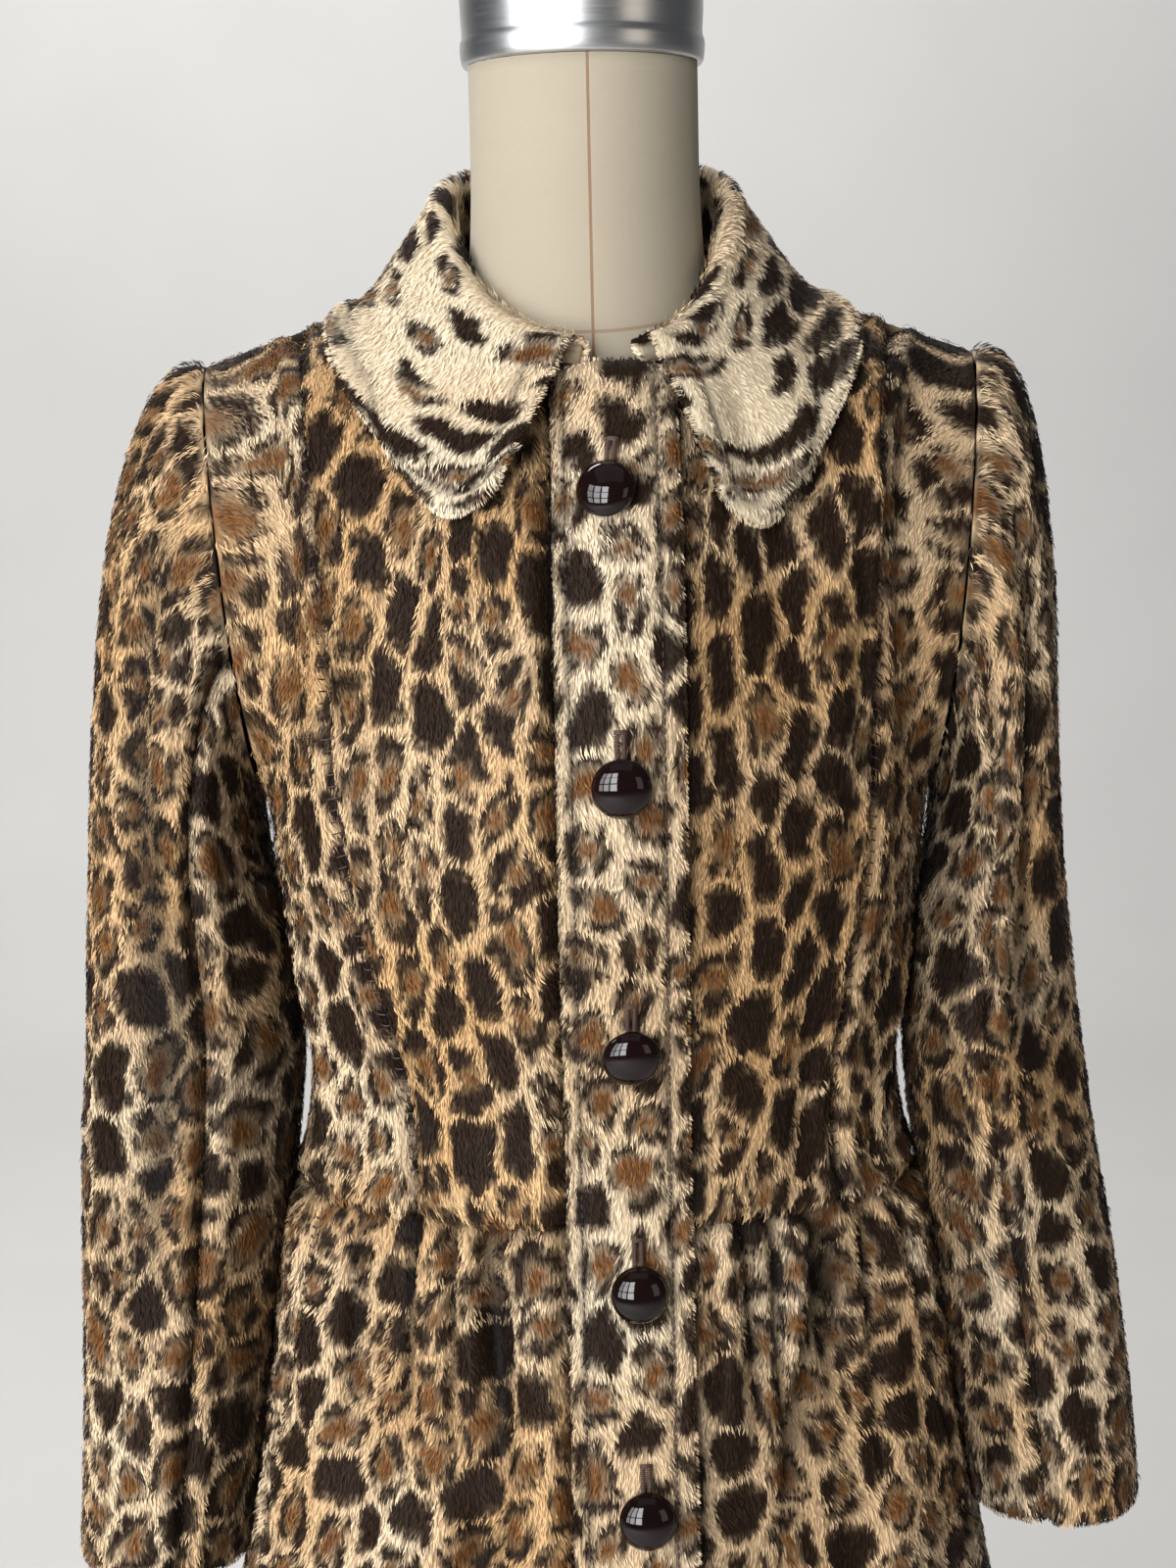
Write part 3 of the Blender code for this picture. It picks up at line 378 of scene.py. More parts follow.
def softened(rows, key, value, at):
    """Straight interpolation in one column of a table, averaged over a short stretch to round corners."""
    knots = [getattr(row, key) for row in rows]
    values = [getattr(row, value) for row in rows]
    return np.mean([np.interp(at + off, knots, values) for off in (-0.08, -0.04, 0.0, 0.04, 0.08)], axis=0)


def smooth(low, high, value):
    """Soft step from 0 at low to 1 at high."""
    t = np.clip((value - low) / (high - low), 0, 1)
    return t * t * (3 - 2 * t)


def unit(vectors):
    return vectors / np.maximum(np.linalg.norm(vectors, axis=-1, keepdims=True), 1e-12)


def stack(x, y, z):
    return np.stack(np.broadcast_arrays(x, y, z), axis=-1)


def mirrored(points, side):
    return points * np.array((1.0 if side == "left" else -1.0, 1.0, 1.0))


def turned(first, second, angle):
    """Direction between two others that stand square to each other, by the angle from the first."""
    return first * np.cos(angle)[..., None] + second * np.sin(angle)[..., None]


def reach_along(line):
    """Distance along a line of points, from its start to each of them."""
    return np.concatenate(((0,), np.cumsum(np.linalg.norm(np.diff(line, axis=0), axis=1))))


def borders(*values):
    """One value for each side of a grid."""
    return dict(zip(SIDES, values))


def cubic(t, start, near, far, end):
    """Curve from a start to an end, which leaves towards one point and arrives from another."""
    return (1 - t) ** 3 * start + 3 * t * (1 - t) ** 2 * near + 3 * t ** 2 * (1 - t) * far + t ** 3 * end


def ring(rows, angle, height):
    """Point of an oval ring: half an ellipse in front of the side line and half of another behind it."""
    half = through(rows, "height", "half_width", height)
    front = through(rows, "height", "front", height)
    back = through(rows, "height", "back", height)
    deep = np.where(np.cos(angle) > 0, front, back)
    return stack(half * np.sin(angle), -deep * np.cos(angle), height + 0 * angle)


def front_angle(x, height):
    """Angle at which the body ring has a given x."""
    return np.arcsin(x / through(BODY, "height", "half_width", height))


def neckline(x, centre, middle):
    """Half oval through the middle of the neckline, at x = centre, and both sides of the neck."""
    span = np.where(x > centre, NECK_SIDE[0] - centre, NECK_SIDE[0] + centre)
    reach = np.sqrt(1 - np.clip(np.abs(x - centre) / span, 0, 1) ** 2)
    y = NECK_SIDE[1] + (middle[1] - NECK_SIDE[1]) * reach
    z = NECK_SIDE[2] + (middle[2] - NECK_SIDE[2]) * reach
    return stack(x, y, z)


def top_edge(column, lead, closing):
    """Neckline, shoulder line and armhole of one half, in the order of the columns."""
    neck, tip, under = np.array(NECK_SIDE), np.array(SHOULDER_TIP), np.array(UNDERARM)
    column = np.asarray(column, dtype=float)
    front_neck = neckline(lead + (NECK_SIDE[0] - lead) * np.minimum(column, 1), closing, NECK_FRONT)
    front_shoulder = neck + (tip - neck) * np.clip(column - 1, 0, 1)[..., None]
    turn = np.pi * np.clip(column - 2, 0, 2)
    armhole = tip + (under - tip) * ((1 - np.cos(turn)) / 2)[..., None]
    armhole[..., 1] -= np.where(column < 3, ARMHOLE_FRONT_REACH, ARMHOLE_BACK_REACH) * np.sin(turn)
    back_shoulder = tip + (neck - tip) * np.clip(column - 4, 0, 1)[..., None]
    back_neck = neckline(NECK_SIDE[0] * (6 - np.clip(column, 5, 6)), 0.0, NECK_BACK)
    place = column[..., None]
    edge = np.where(place < 1, front_neck, front_shoulder)
    edge = np.where(place > 2, armhole, edge)
    edge = np.where(place > 4, back_shoulder, edge)
    return np.where(place > 5, back_neck, edge)


def front_x(column, share, lead, closing):
    """How far from the middle a front column runs; at the chest line columns spread beside the neck."""
    x = lead + (NECK_SIDE[0] - lead) * np.minimum(column, 1)
    turn = np.arcsin(np.clip((x - closing) / (NECK_SIDE[0] - closing), 0, 1))
    return x + NECK_SPREAD * share * np.clip(3 * turn / np.pi - 0.5, 0, 1) ** 1.5


def body_line(column, share, height, lead, closing):
    """Point below the chest line: straight columns near the middle, and columns at an angle elsewhere."""
    waist = softened(COLUMNS, "column", "waist_angle", column)
    chest = softened(COLUMNS, "column", "chest_angle", column)
    angle = np.radians(waist + (chest - waist) * share)
    neck = [np.radians(softened(COLUMNS, "column", name, 1.0)) for name in ("waist_angle", "chest_angle")]
    middle = front_angle(front_x(column, share, lead, closing), height)
    joint = middle - (neck[0] + (neck[1] - neck[0]) * share)
    angle = angle + joint * np.clip((1.6 - column) / 0.6, 0, 1)
    return ring(BODY, np.where(column < 1, middle, np.minimum(angle, np.pi)), height)


def bodice(column, rise, lead=0.0, closing=0.0):
    """Outer face of one half: the body rings up to the chest line, then cubic curves up to the top edge."""
    column, rise = np.broadcast_arrays(np.asarray(column, dtype=float), np.asarray(rise, dtype=float))
    share = np.clip(rise, 0, 1)
    lower = body_line(column, share, WAIST + (CHEST - WAIST) * share, lead, closing)
    ones = np.ones_like(column)
    start = body_line(column, ones, CHEST * ones, lead, closing)
    before = body_line(column, ones, (CHEST - 0.004) * ones, lead, closing)
    end = top_edge(column, lead, closing)
    lean = np.radians(softened(COLUMNS, "column", "lean", column))
    arrive = unit(stack(softened(COLUMNS, "column", "out", column), np.sin(lean), np.cos(lean)))
    reach = 0.4 * np.linalg.norm(end - start, axis=-1, keepdims=True)
    near = start + unit(start - before) * reach
    far = end - arrive * reach
    t = np.clip(rise - 1, 0, 1)[..., None]
    upper = cubic(t, start, near, far, end)
    return np.where(rise[..., None] <= 1, lower, upper)


def skirt(angle, height):
    """Skirt's outer face: the body ring pushed in and out by the folds, which are shallow at the seam."""
    share = np.clip((WAIST - height) / (WAIST - HEM), 0, 1)
    eased = 0.35 + 0.65 * np.clip(share / 0.08, 0, 1)
    push = 0 * angle
    for fold in FOLDS:
        middle = np.radians(fold.waist_angle + (fold.hem_angle - fold.waist_angle) * share)
        away = (angle - middle + np.pi) % (2 * np.pi) - np.pi
        depth = fold.waist_depth * (1 - share) + fold.hem_depth * share ** 1.5
        push = push - eased * depth * np.exp(-(away / np.radians(fold.width)) ** 2)
    out = stack(np.sin(angle), -np.cos(angle), 0 * angle)
    return ring(BODY, angle, height) + push[..., None] * out


def sleeve_ring(side, turn, height):
    """Oval ring of a hanging sleeve: turn 0 is away from the body, a quarter is the front."""
    half = through(SLEEVE, "height", "half_" + side, height)
    inner = through(SLEEVE, "height", "inner", height)
    deep = through(SLEEVE, "height", "half_depth", height)
    centre = through(SLEEVE, "height", "centre_y", height)
    return stack(inner + half + half * np.cos(turn), centre - deep * np.sin(turn), height + 0 * turn)


def sleeve(side, turn, run):
    """Outer face of a sleeve: curves from the armhole (0) to the upper arm (1), rings to the cuff (2)."""
    turn, run = np.broadcast_arrays(np.asarray(turn, dtype=float), np.asarray(run, dtype=float))
    top, cuff = SLEEVE[-1].height, CUFF[side]
    start = top_edge(2 + (turn % (2 * np.pi)) / np.pi, 0.0, 0.0) + np.array((2 * SEAM, 0, 0))
    above, below, beside = np.maximum(np.cos(turn), 0), np.maximum(-np.cos(turn), 0), np.sin(turn)
    leave = unit(stack(
        0.95 * above + 0.8 * np.abs(beside),
        -0.1 * beside,
        0.30 * above - 0.55 * np.abs(beside) - 1.0 * below,
    ))
    end = sleeve_ring(side, turn, top + 0 * turn)
    arrive = unit(sleeve_ring(side, turn, top - 0.004 + 0 * turn) - end)
    reach = np.linalg.norm(end - start, axis=-1, keepdims=True)
    near, far = start + 0.20 * reach * leave, end - 0.42 * reach * arrive
    t = np.clip(run, 0, 1)[..., None]
    head = cubic(t, start, near, far, end)
    centred = ((turn + np.pi) % (2 * np.pi) - np.pi) / np.radians(GATHER_SPREAD)
    fade = np.clip(1 - centred ** 2, 0, 1) * np.clip(1 - run / 0.6, 0, 1) * np.clip(run / 0.05, 0, 1)
    pleat = GATHER_DEPTH * np.cos(np.pi * GATHER_COUNT * centred) * fade
    head = head + pleat[..., None] * stack(0 * turn, -np.sin(turn), np.cos(turn))
    arm = sleeve_ring(side, turn, top + (cuff - top) * np.clip(run - 1, 0, 1))
    return np.where(run[..., None] <= 1, head, arm)


def normals_of(surface, u, v, v_range):
    """Normals of a surface from its differences along both parameters."""
    step, small = 0.02, 0.001
    across = surface(u + step, v) - surface(u - step, v)
    along = surface(u, np.minimum(v + small, v_range[1])) - surface(u, np.maximum(v - small, v_range[0]))
    return unit(np.cross(across, along))


def flat_coordinates(points):
    """Distances along the cloth: across from the middle column, and along from the first row."""
    across = np.cumsum(np.linalg.norm(np.diff(points, axis=1, prepend=points[:, :1]), axis=-1), axis=1)
    along = np.cumsum(np.linalg.norm(np.diff(points, axis=0, prepend=points[:1]), axis=-1), axis=0)
    middle = points.shape[1] // 2
    return across - across[:, middle:middle + 1], along


def value_noise(u, v, pitch, seed):
    """Smooth noise from 0 to 1: random numbers on a square lattice, blended by soft steps."""
    knots = np.random.default_rng(seed).random((64, 64))
    i, j = np.floor(u / pitch).astype(int), np.floor(v / pitch).astype(int)
    s, t = smooth(0, 1, u / pitch - i), smooth(0, 1, v / pitch - j)
    low = knots[i % 64, j % 64] * (1 - s) + knots[(i + 1) % 64, j % 64] * s
    high = knots[i % 64, (j + 1) % 64] * (1 - s) + knots[(i + 1) % 64, (j + 1) % 64] * s
    return low * (1 - t) + high * t


def nearest_places(spots, size, seed):
    """Nearest place of a staggered, jittered lattice: its traits, the way from it, and how far its border is.

    The distance from the border is a soft minimum over all neighbours, which rounds the corners.
    """
    chance = np.random.default_rng(seed).random((LATTICE, LATTICE, 8))
    around = np.array([(i, j) for i in (-1, 0, 1) for j in (-2, -1, 0, 1, 2)])
    near = around[:, None] + np.floor(spots).astype(int)
    centre = near + 0.5 + 0.52 * (chance[:, :, :2][near[..., 0] % LATTICE, near[..., 1] % LATTICE] - 0.5)
    centre[..., 1] += 0.5 * (near[..., 0] % 2) - 0.25
    away = spots - centre
    far = (away ** 2).sum(axis=-1)
    own = (far.argmin(axis=0), np.arange(len(spots)))
    apart = away[own] - away
    gap = np.maximum(np.linalg.norm(apart, axis=-1), 1e-6)
    border = (far - far[own]) / (2 * gap) * np.linalg.norm(apart * size, axis=-1) / gap
    border[own] = 1.0
    border = np.maximum(-ROUNDING * np.log(np.exp(-border / ROUNDING).sum(axis=0)), 0)
    return chance[near[own][:, 0] % LATTICE, near[own][:, 1] % LATTICE], away[own], border


def leopard(u, v, look, seed):
    """Leopard print on flat cloth: shares of dark spot, of rosette centre, and how pale the ground is.

    Each place of a lattice is dark from a certain distance to its border on, so that a net of ground is
    left. A rosette also has a lighter centre, where the share of the way to the border is small, and two to
    four gaps in its ring.
    """
    grid = u.shape
    u, v = u.ravel(), v.ravel()
    bend, drift = (
        0.0085 * (value_noise(u, v, 0.024, seed + k) - 0.5)
        + 0.0058 * (value_noise(u, v, 0.008, seed + k + 1) - 0.5) for k in (1, 3)
    )
    size = np.array((look.width, look.height))
    traits, away, border = nearest_places(np.stack((u + bend, v + drift), axis=-1) / size, size, seed)
    reach = np.linalg.norm(away * size, axis=-1)
    share = reach / np.maximum(reach + border, 1e-6)
    line = look.line * (0.65 + 0.7 * value_noise(u, v, 0.03, seed + 10)) + 0.0012 * traits[:, 4]
    inside = smooth(line - 0.0009, line + 0.0009, border)
    rosette = traits[:, 2] > look.solid
    core = 0.30 + 0.26 * traits[:, 3]
    middle = np.where(rosette, smooth(core + 0.13, core - 0.13, share), 0.0)
    count = 2 + np.floor(2.99 * traits[:, 5])
    turn = (np.arctan2(away[:, 1], away[:, 0]) / (2 * np.pi) * count + traits[:, 6]) % 1
    arc = np.abs(turn - 0.5) * 2 * np.pi / count * reach
    broken = 0.8 * rosette * (1 - smooth(0.0006, 0.0028, arc)) * smooth(core * 0.6, core, share)
    inside = inside * (traits[:, 7] < look.filled)
    pale = np.clip(look.pale + 0.9 * (value_noise(u, v, 0.055, seed + 5) - 0.5), 0, 1)
    return [part.reshape(grid) for part in (inside * (1 - middle) * (1 - broken), inside * middle, pale)]


def beside_line(places, start, end):
    """Share of the way along a line from start to end, and distance to its side, of places in a plane."""
    line = np.subtract(end, start)
    offset = places - np.array(start)
    along = (offset @ line) / (line @ line)
    return along, (offset[..., 0] * line[1] - offset[..., 1] * line[0]) / np.linalg.norm(line)


def creases(lines, points, narrow=0.0):
    """Depth of soft troughs seen from the front: a bell across each line, which fades towards both ends.

    Narrow ones have a steeper bell, the exponential of the distance, with a rounded bottom, lean to one
    side, and are deep from their start.
    """
    depth = np.zeros(points.shape[:-1])
    for crease in lines:
        start, end = (crease.start_x, crease.start_z), (crease.end_x, crease.end_z)
        along, across = beside_line(points[..., (0, 2)], start, end)
        fade = smooth(-0.05, 0.3 - 0.35 * narrow, along) * smooth(1.05, 0.7 - 0.3 * narrow, along)
        far = (across / crease.width / (1 - 0.7 * narrow * np.tanh(across / 0.0015))) ** 2
        bell = narrow * np.exp(0.2 - np.sqrt(far + 0.04)) + (1 - narrow) * np.exp(-far)
        depth += crease.depth * fade * bell
    return depth * (points[..., 1] < 0.03)


def beside_arm(points):
    """How far the body's pile stands out where the sleeves hang against it."""
    x, z = np.abs(points[..., 0]), points[..., 2]
    return ARM_ROOM * smooth(0.122, 0.146, x) * smooth(1.15, 1.08, z)


def sleeve_creases(side, turn, run):
    """Depth of a sleeve's soft troughs, by turn and run."""
    depth = np.zeros(turn.shape)
    for crease in SLEEVE_CREASES:
        if crease.side != side:
            continue
        start = (crease.start_turn, crease.start_run * RUN_DEGREES)
        end = (crease.end_turn, crease.end_run * RUN_DEGREES)
        along, across = beside_line(np.stack((np.degrees(turn), run * RUN_DEGREES), axis=-1), start, end)
        fade = smooth(-0.1, 0.3, along) * smooth(1.1, 0.7, along)
        depth += SLEEVE_CREASE_SHARE * crease.depth * fade * np.exp(-(across / crease.width) ** 2)
    return depth


def edge_distance(points, side):
    """Distance of every grid point from one side of its grid, along the cloth."""
    across, along = flat_coordinates(points)
    return borders(across - across[:, :1], across[:, -1:] - across, along, along[-1:] - along)[side]


def relaxed(grid, rounds):
    """Grid whose inner values move to the mean of their four neighbours in each round; its border stays."""
    grid = grid.copy()
    for _ in range(rounds):
        grid[1:-1, 1:-1] = (grid[:-2, 1:-1] + grid[2:, 1:-1] + grid[1:-1, :-2] + grid[1:-1, 2:]) / 4
    return grid


def grid_normals(points, like):
    """Normals of a grid from the differences between its points, on the same side as others."""
    facing = unit(np.cross(np.gradient(points, axis=1), np.gradient(points, axis=0)))
    return facing * np.sign(np.sum(facing * like))


def eased(points, normals):
    """Grid without the small folds where columns crowd, and its normals; the border keeps its own."""
    points = relaxed(points, 8)
    facing = grid_normals(points, normals)
    normals = normals.copy()
    normals[1:-1, 1:-1] = facing[1:-1, 1:-1]
    return points, unit(relaxed(normals, 4))


def shaped(name, points, normals, edges, look, depth=0.0, flat=None, stitched=0.0):
    """Panel with its seams and creases pressed in; edges tell which sides are sewn and which are free.

    The nap runs down the coat, which is the way that rows are counted on sleeves and collar, and the other
    way elsewhere. Pile is flat in deep creases, as along stitches, and its colour gets painted shade there.
    The backing lies below the pile's tips, but comes up to them at set-in seams, so that these are closed.
    """
    seed = SEEDS[name]
    nap = unit(np.gradient(points, axis=0)) * (1 if look in ("sleeve", "collar") else -1)
    uneven = 0.0012 * (value_noise(*flat_coordinates(points), 0.045, seed + 6) - 0.5)
    push = uneven - depth - 0.0022 * stitched
    # Deep creases join the mask of pressed pile, which also carries painted shade
    stitched = np.maximum(stitched, np.clip(depth / FLAT_DEPTH, 0, 1) ** 1.5) + np.zeros(points.shape[:-1])
    sunk = np.full(points.shape[:-1], PILE_DEPTH)
    for side, kind in edges.items():
        pressed, wide = PRESSED[kind]
        away = edge_distance(points, side)
        push = push - pressed * np.exp(-(away / wide) ** 2)
        if kind in BESIDE:
            high, middle, wide = BESIDE[kind]
            push = push + high * np.exp(-((away - middle) / wide) ** 2)
        if kind == "set":
            sunk = sunk * smooth(-0.001, 0.007, away)
    push = np.where(push < 0, DEEPEST * np.tanh(push / DEEPEST), push)
    flat = flat_coordinates(points) if flat is None else flat
    points = points + push[..., None] * normals
    facing = grid_normals(points, normals)
    return Panel(name, points, normals, facing, nap, edges, flat, sunk, stitched, look, seed)


def fronts(side):
    """Front and side front of one half."""
    lead = LEAD[side] + (0 if side == "left" else SEAM)
    closing = CLOSING[side]
    rise = RISES[:, None]
    seam = np.interp(rise, (0, 1, 2), PRINCESS[side])
    first = math.asin(max((lead - closing) / (NECK_SIDE[0] - closing), -1))
    x = closing + (NECK_SIDE[0] - closing) * np.sin(np.linspace(first, math.pi / 2, 26))
    neck_part = np.broadcast_to((x - lead) / (NECK_SIDE[0] - lead), (len(rise), len(x)))
    beside = 1 + (seam - 0.002 - 1) * (1 - np.linspace(1, 0, 22)[None, 1:] ** 1.5)
    outside = seam + 0.002 + (2 - seam - 0.002) * np.linspace(0, 1, 15)[None, :] ** 1.5
    arm = np.broadcast_to(np.linspace(2, 2.998, 37)[None, 1:], (len(rise), 36))
    panels = []
    for name, columns, look in (
        ("front_", np.concatenate((neck_part, beside), axis=1), "front"),
        ("side_front_", np.concatenate((outside, arm), axis=1), "side"),
    ):
        def surface(u, v):
            return bodice(u, v, lead, closing)

        rises = np.broadcast_to(rise, columns.shape)
        points = mirrored(surface(columns, rises), side)
        normals = mirrored(normals_of(surface, columns, rises, (0, 2)), side)
        points, normals = eased(points, normals)
        edges = borders("sewn", "sewn", "over", "set")
        depth = creases(CREASES, points) - beside_arm(points)
        around = (BODY_RADIUS * np.arctan2(points[..., 0], -points[..., 1]), points[..., 2])
        flat = around if look == "side" else None
        panels.append(shaped(name + side, points, normals, edges, look, depth, flat))
    return panels


def back():
    """Back bodice, as two halves that share the centre back."""
    neck_part = 6 - np.sin(np.linspace(math.pi / 2, 0, 12))
    half = np.concatenate((np.linspace(3.002, 4, 25), np.linspace(4, 5, 12)[1:], neck_part[1:]))
    columns, rises = np.meshgrid(half, RISES)
    points = bodice(columns, rises)
    facing = normals_of(lambda u, v: bodice(np.minimum(u, 6), v), columns, rises, (0, 2))
    facing[:, -1, 0] = 0
    points, normals = eased(*(
        np.concatenate((part, mirrored(part, "right")[:, -2::-1]), axis=1)
        for part in (points, unit(facing))
    ))
    edges = borders("sewn", "sewn", "over", "set")
    flat = (BODY_RADIUS * np.arctan2(points[..., 0], points[..., 1]), points[..., 2])
    return shaped("back_bodice", points, normals, edges, "side", flat=flat)


def skirt_panel(name, start, end, columns):
    """Skirt piece between two lines of angles."""
    height = WAIST - SEAM - (WAIST - SEAM - HEM) * np.linspace(1, 0, 73)
    low, high = start(height), end(height)
    half = SEAM / 2 / SKIRT_RADIUS
    angle = (low + half)[:, None] + (high - low - 2 * half)[:, None] * np.linspace(0, 1, columns)
    heights = np.broadcast_to(height[:, None], angle.shape)
    points = skirt(angle, heights)
    facing = normals_of(skirt, angle, heights, (HEM, WAIST))
    depth = creases(PLEATS, points, 0.7) - beside_arm(points)
    return shaped(name, points, facing, borders("sewn", "sewn", "free", "gathered"), "skirt", depth)


def skirts():
    """Two fronts and the back of the skirt."""
    def side(height):
        return np.radians(through(SKIRT_SIDE, "height", "angle", height))

    return [
        skirt_panel("skirt_front_left", lambda z: front_angle(LAP_START, z), side, 104),
        skirt_panel("skirt_front_right", lambda z: -side(z), lambda z: front_angle(BAND_LEFT, z), 96),
        skirt_panel("skirt_back", side, lambda z: 2 * np.pi - side(z), 132),
    ]


def sleeves(side):
    """Upper and under sleeve of one side."""
    run = np.concatenate((np.linspace(0, 1, 40) ** 1.15, np.linspace(1, 2, 46)[1:]))
    panels = []
    for name, start, end, columns in (
        ("upper_sleeve_", SLEEVE_BACK_SEAM, SLEEVE_FRONT_SEAM, 48),
        ("under_sleeve_", SLEEVE_FRONT_SEAM, SLEEVE_BACK_SEAM + 360, 24),
    ):
        turn, runs = np.meshgrid(np.radians(np.linspace(start + 0.17, end - 0.17, columns)), run)

        def surface(u, v):
            return sleeve(side, u, v)

        points = mirrored(surface(turn, runs), side)
        facing = mirrored(normals_of(surface, turn, runs, (0, 2)), side)
        edges = borders("sewn", "sewn", "set", "free")
        room = ARM_ROOM * smooth(-0.5, -0.9, np.cos(turn)) * smooth(0.9, 1.1, runs)
        depth = sleeve_creases(side, turn, runs) - room
        flat = ((0.052 + 0.020 * np.maximum(1 - runs, 0)) * turn, points[..., 2])
        panels.append(shaped(name + side, points, facing, edges, "sleeve", depth, flat))
    return panels


def band_surface(across, height):
    """Points and normals under the band, by x and height: the left half above the waist, the skirt below."""
    across, height = np.broadcast_arrays(across, height)
    column = (across - LAP_START) / (NECK_SIDE[0] - LAP_START)
    rise = np.linspace(0, 2, 401)
    upper = bodice(column[..., None], rise, LAP_START, CLOSING_X)[..., 2]
    level = np.minimum(height, upper[..., -1])
    place = (upper < level[..., None]).sum(axis=-1).clip(1, 400)
    below = np.take_along_axis(upper, place[..., None] - 1, axis=-1)[..., 0]
    above = np.take_along_axis(upper, place[..., None], axis=-1)[..., 0]
    rises = rise[place - 1] + (level - below) / np.maximum(above - below, 1e-9) * (rise[1] - rise[0])

    def front(u, v):
        return bodice(u, v, LAP_START, CLOSING_X)

    over = (height > WAIST)[..., None]
    low = np.minimum(height, WAIST)
    angle = front_angle(across, low)
    points = np.where(over, front(column, rises), skirt(angle, low))
    upright, lower = normals_of(front, column, rises, (0, 2)), normals_of(skirt, angle, low, (HEM, WAIST))
    return points, np.where(over, upright, lower)


def band():
    """Band down the front edge: the surface under it, moved out in a step beside the underlap."""
    beside, over = np.linspace(BAND_LEFT, LAP_START, 7)[:-1], np.linspace(LAP_START, LAP_END, 17)
    across = np.concatenate((beside, over))
    top = BAND_TOP - 0.010 * smooth(0.024, LAP_END, across) ** 2
    height = HEM + (top - HEM) * np.linspace(0, 1, 135)[:, None]
    points, facing = band_surface(np.broadcast_to(across, height.shape), height)
    step = smooth(BAND_LEFT, LAP_START, across)
    points = points + ((WALL + SEAM) * step)[None, :, None] * facing
    lines = np.minimum(np.abs(across - BAND_LEFT - TOPSTITCH), np.abs(LAP_END - TOPSTITCH - across))
    # Pile along the topstitch lines is pressed in and gets painted shade
    stitched = np.exp(-(lines / 0.0020) ** 2)
    edges = borders("sewn", "free", "free", "free")
    return shaped("button_band", points, facing, edges, "band", stitched=stitched)


def collar_section(side, station):
    """Middle line of stand and roll at one station, the fall's straight line, and the stand's normal."""
    closing = CLOSING[side]
    lead = closing if station < 1 else 0.0
    if station < 1:
        span = NECK_SIDE[0] - closing
        begin = math.asin(COLLAR_START / span)
        column = span * math.sin(begin + (math.pi / 2 - begin) * station) / (NECK_SIDE[0] - lead)
        ends = (column - 0.01, min(column + 0.01, 1))
    else:
        column = 6 - math.sin(math.pi / 2 * (2 - station))
        ends = (max(column - 0.01, 5), column + 0.01)
    run = top_edge(np.array(ends), lead, closing)
    level = np.array((1.0, 1.0, 0.0))
    facing = unit(np.cross(run[1] - run[0], (0.0, 0.0, 1.0)) * level)
    up = np.array((0.0, 0.0, 1.0))
    names = COLLAR[0]._fields[1:]
    stand, roll, *edge = (float(through(COLLAR, "station", name, station)) for name in names)
    out = closing + COLLAR_TIP_OUT[side]
    edge = np.array(edge) + max(0.0, 1 - station) * np.array((out, 0, COLLAR_TIP_RISE[side]))
    foot = top_edge(np.array([column]), lead, closing)[0] - facing * (WALL / 2 + SEAM) + up * 2 * SEAM
    head = foot + up * stand
    out = unit((edge - head) * level)
    turn = np.radians(np.linspace(0, 180, 11))[1:, None]
    line = np.concatenate((
        foot + up * stand * np.linspace(0, 1, 7)[:, None],
        head + roll * (out * (1 - np.cos(turn)) + up * np.sin(turn)),
    ))
    fall = line[-1] + (edge - line[-1]) * np.linspace(0, 1, 25)[1:, None]
    return [mirrored(part, side) for part in (line, fall, facing)]


def coat_tree():
    """Search tree over both halves of the bodice's upper part, which the collar lies on."""
    points, faces = [], []
    for side in ("left", "right"):
        column, rise = np.meshgrid(np.linspace(-0.2, 6, 150), np.linspace(1, 2, 50))
        grid = mirrored(bodice(column, rise, LEAD[side], CLOSING[side]), side)
        index = len(points) + np.arange(column.size).reshape(column.shape)
        points.extend(grid.reshape(-1, 3).tolist())
        corners = (index[:-1, :-1], index[:-1, 1:], index[1:, 1:], index[1:, :-1])
        faces.extend(np.stack(corners, axis=-1).reshape(-1, 4).tolist())
    return BVHTree.FromPolygons(points, faces)


def laid_on(fall, tree):
    """Fall moved along rays from the chest's middle to lie clear of the coat, and higher over the band."""
    ray = fall - np.array(CHEST_MIDDLE)
    reach = np.linalg.norm(ray, axis=-1)
    ray = unit(ray)
    clear = 0 * reach
    for place in np.ndindex(reach.shape):
        direction = Vector(ray[place])
        start = Vector(CHEST_MIDDLE) + direction * RAY_REACH
        spot, facing, _, distance = tree.ray_cast(start, -direction, RAY_REACH)
        if spot is None:
            continue
        over_band = smooth(0, 0.03, COLLAR_BAND_REACH - abs(spot.x - COLLAR_BAND_MIDDLE))
        away = WALL / 2 + COLLAR_CLEAR + (WALL + SEAM) * over_band
        clear[place] = RAY_REACH - distance + away / max(0.5, abs(facing.dot(direction)))
    reach = np.maximum(reach, clear)
    reach[:, -1] = clear[:, -1]
    return np.array(CHEST_MIDDLE) + ray * reach[..., None]


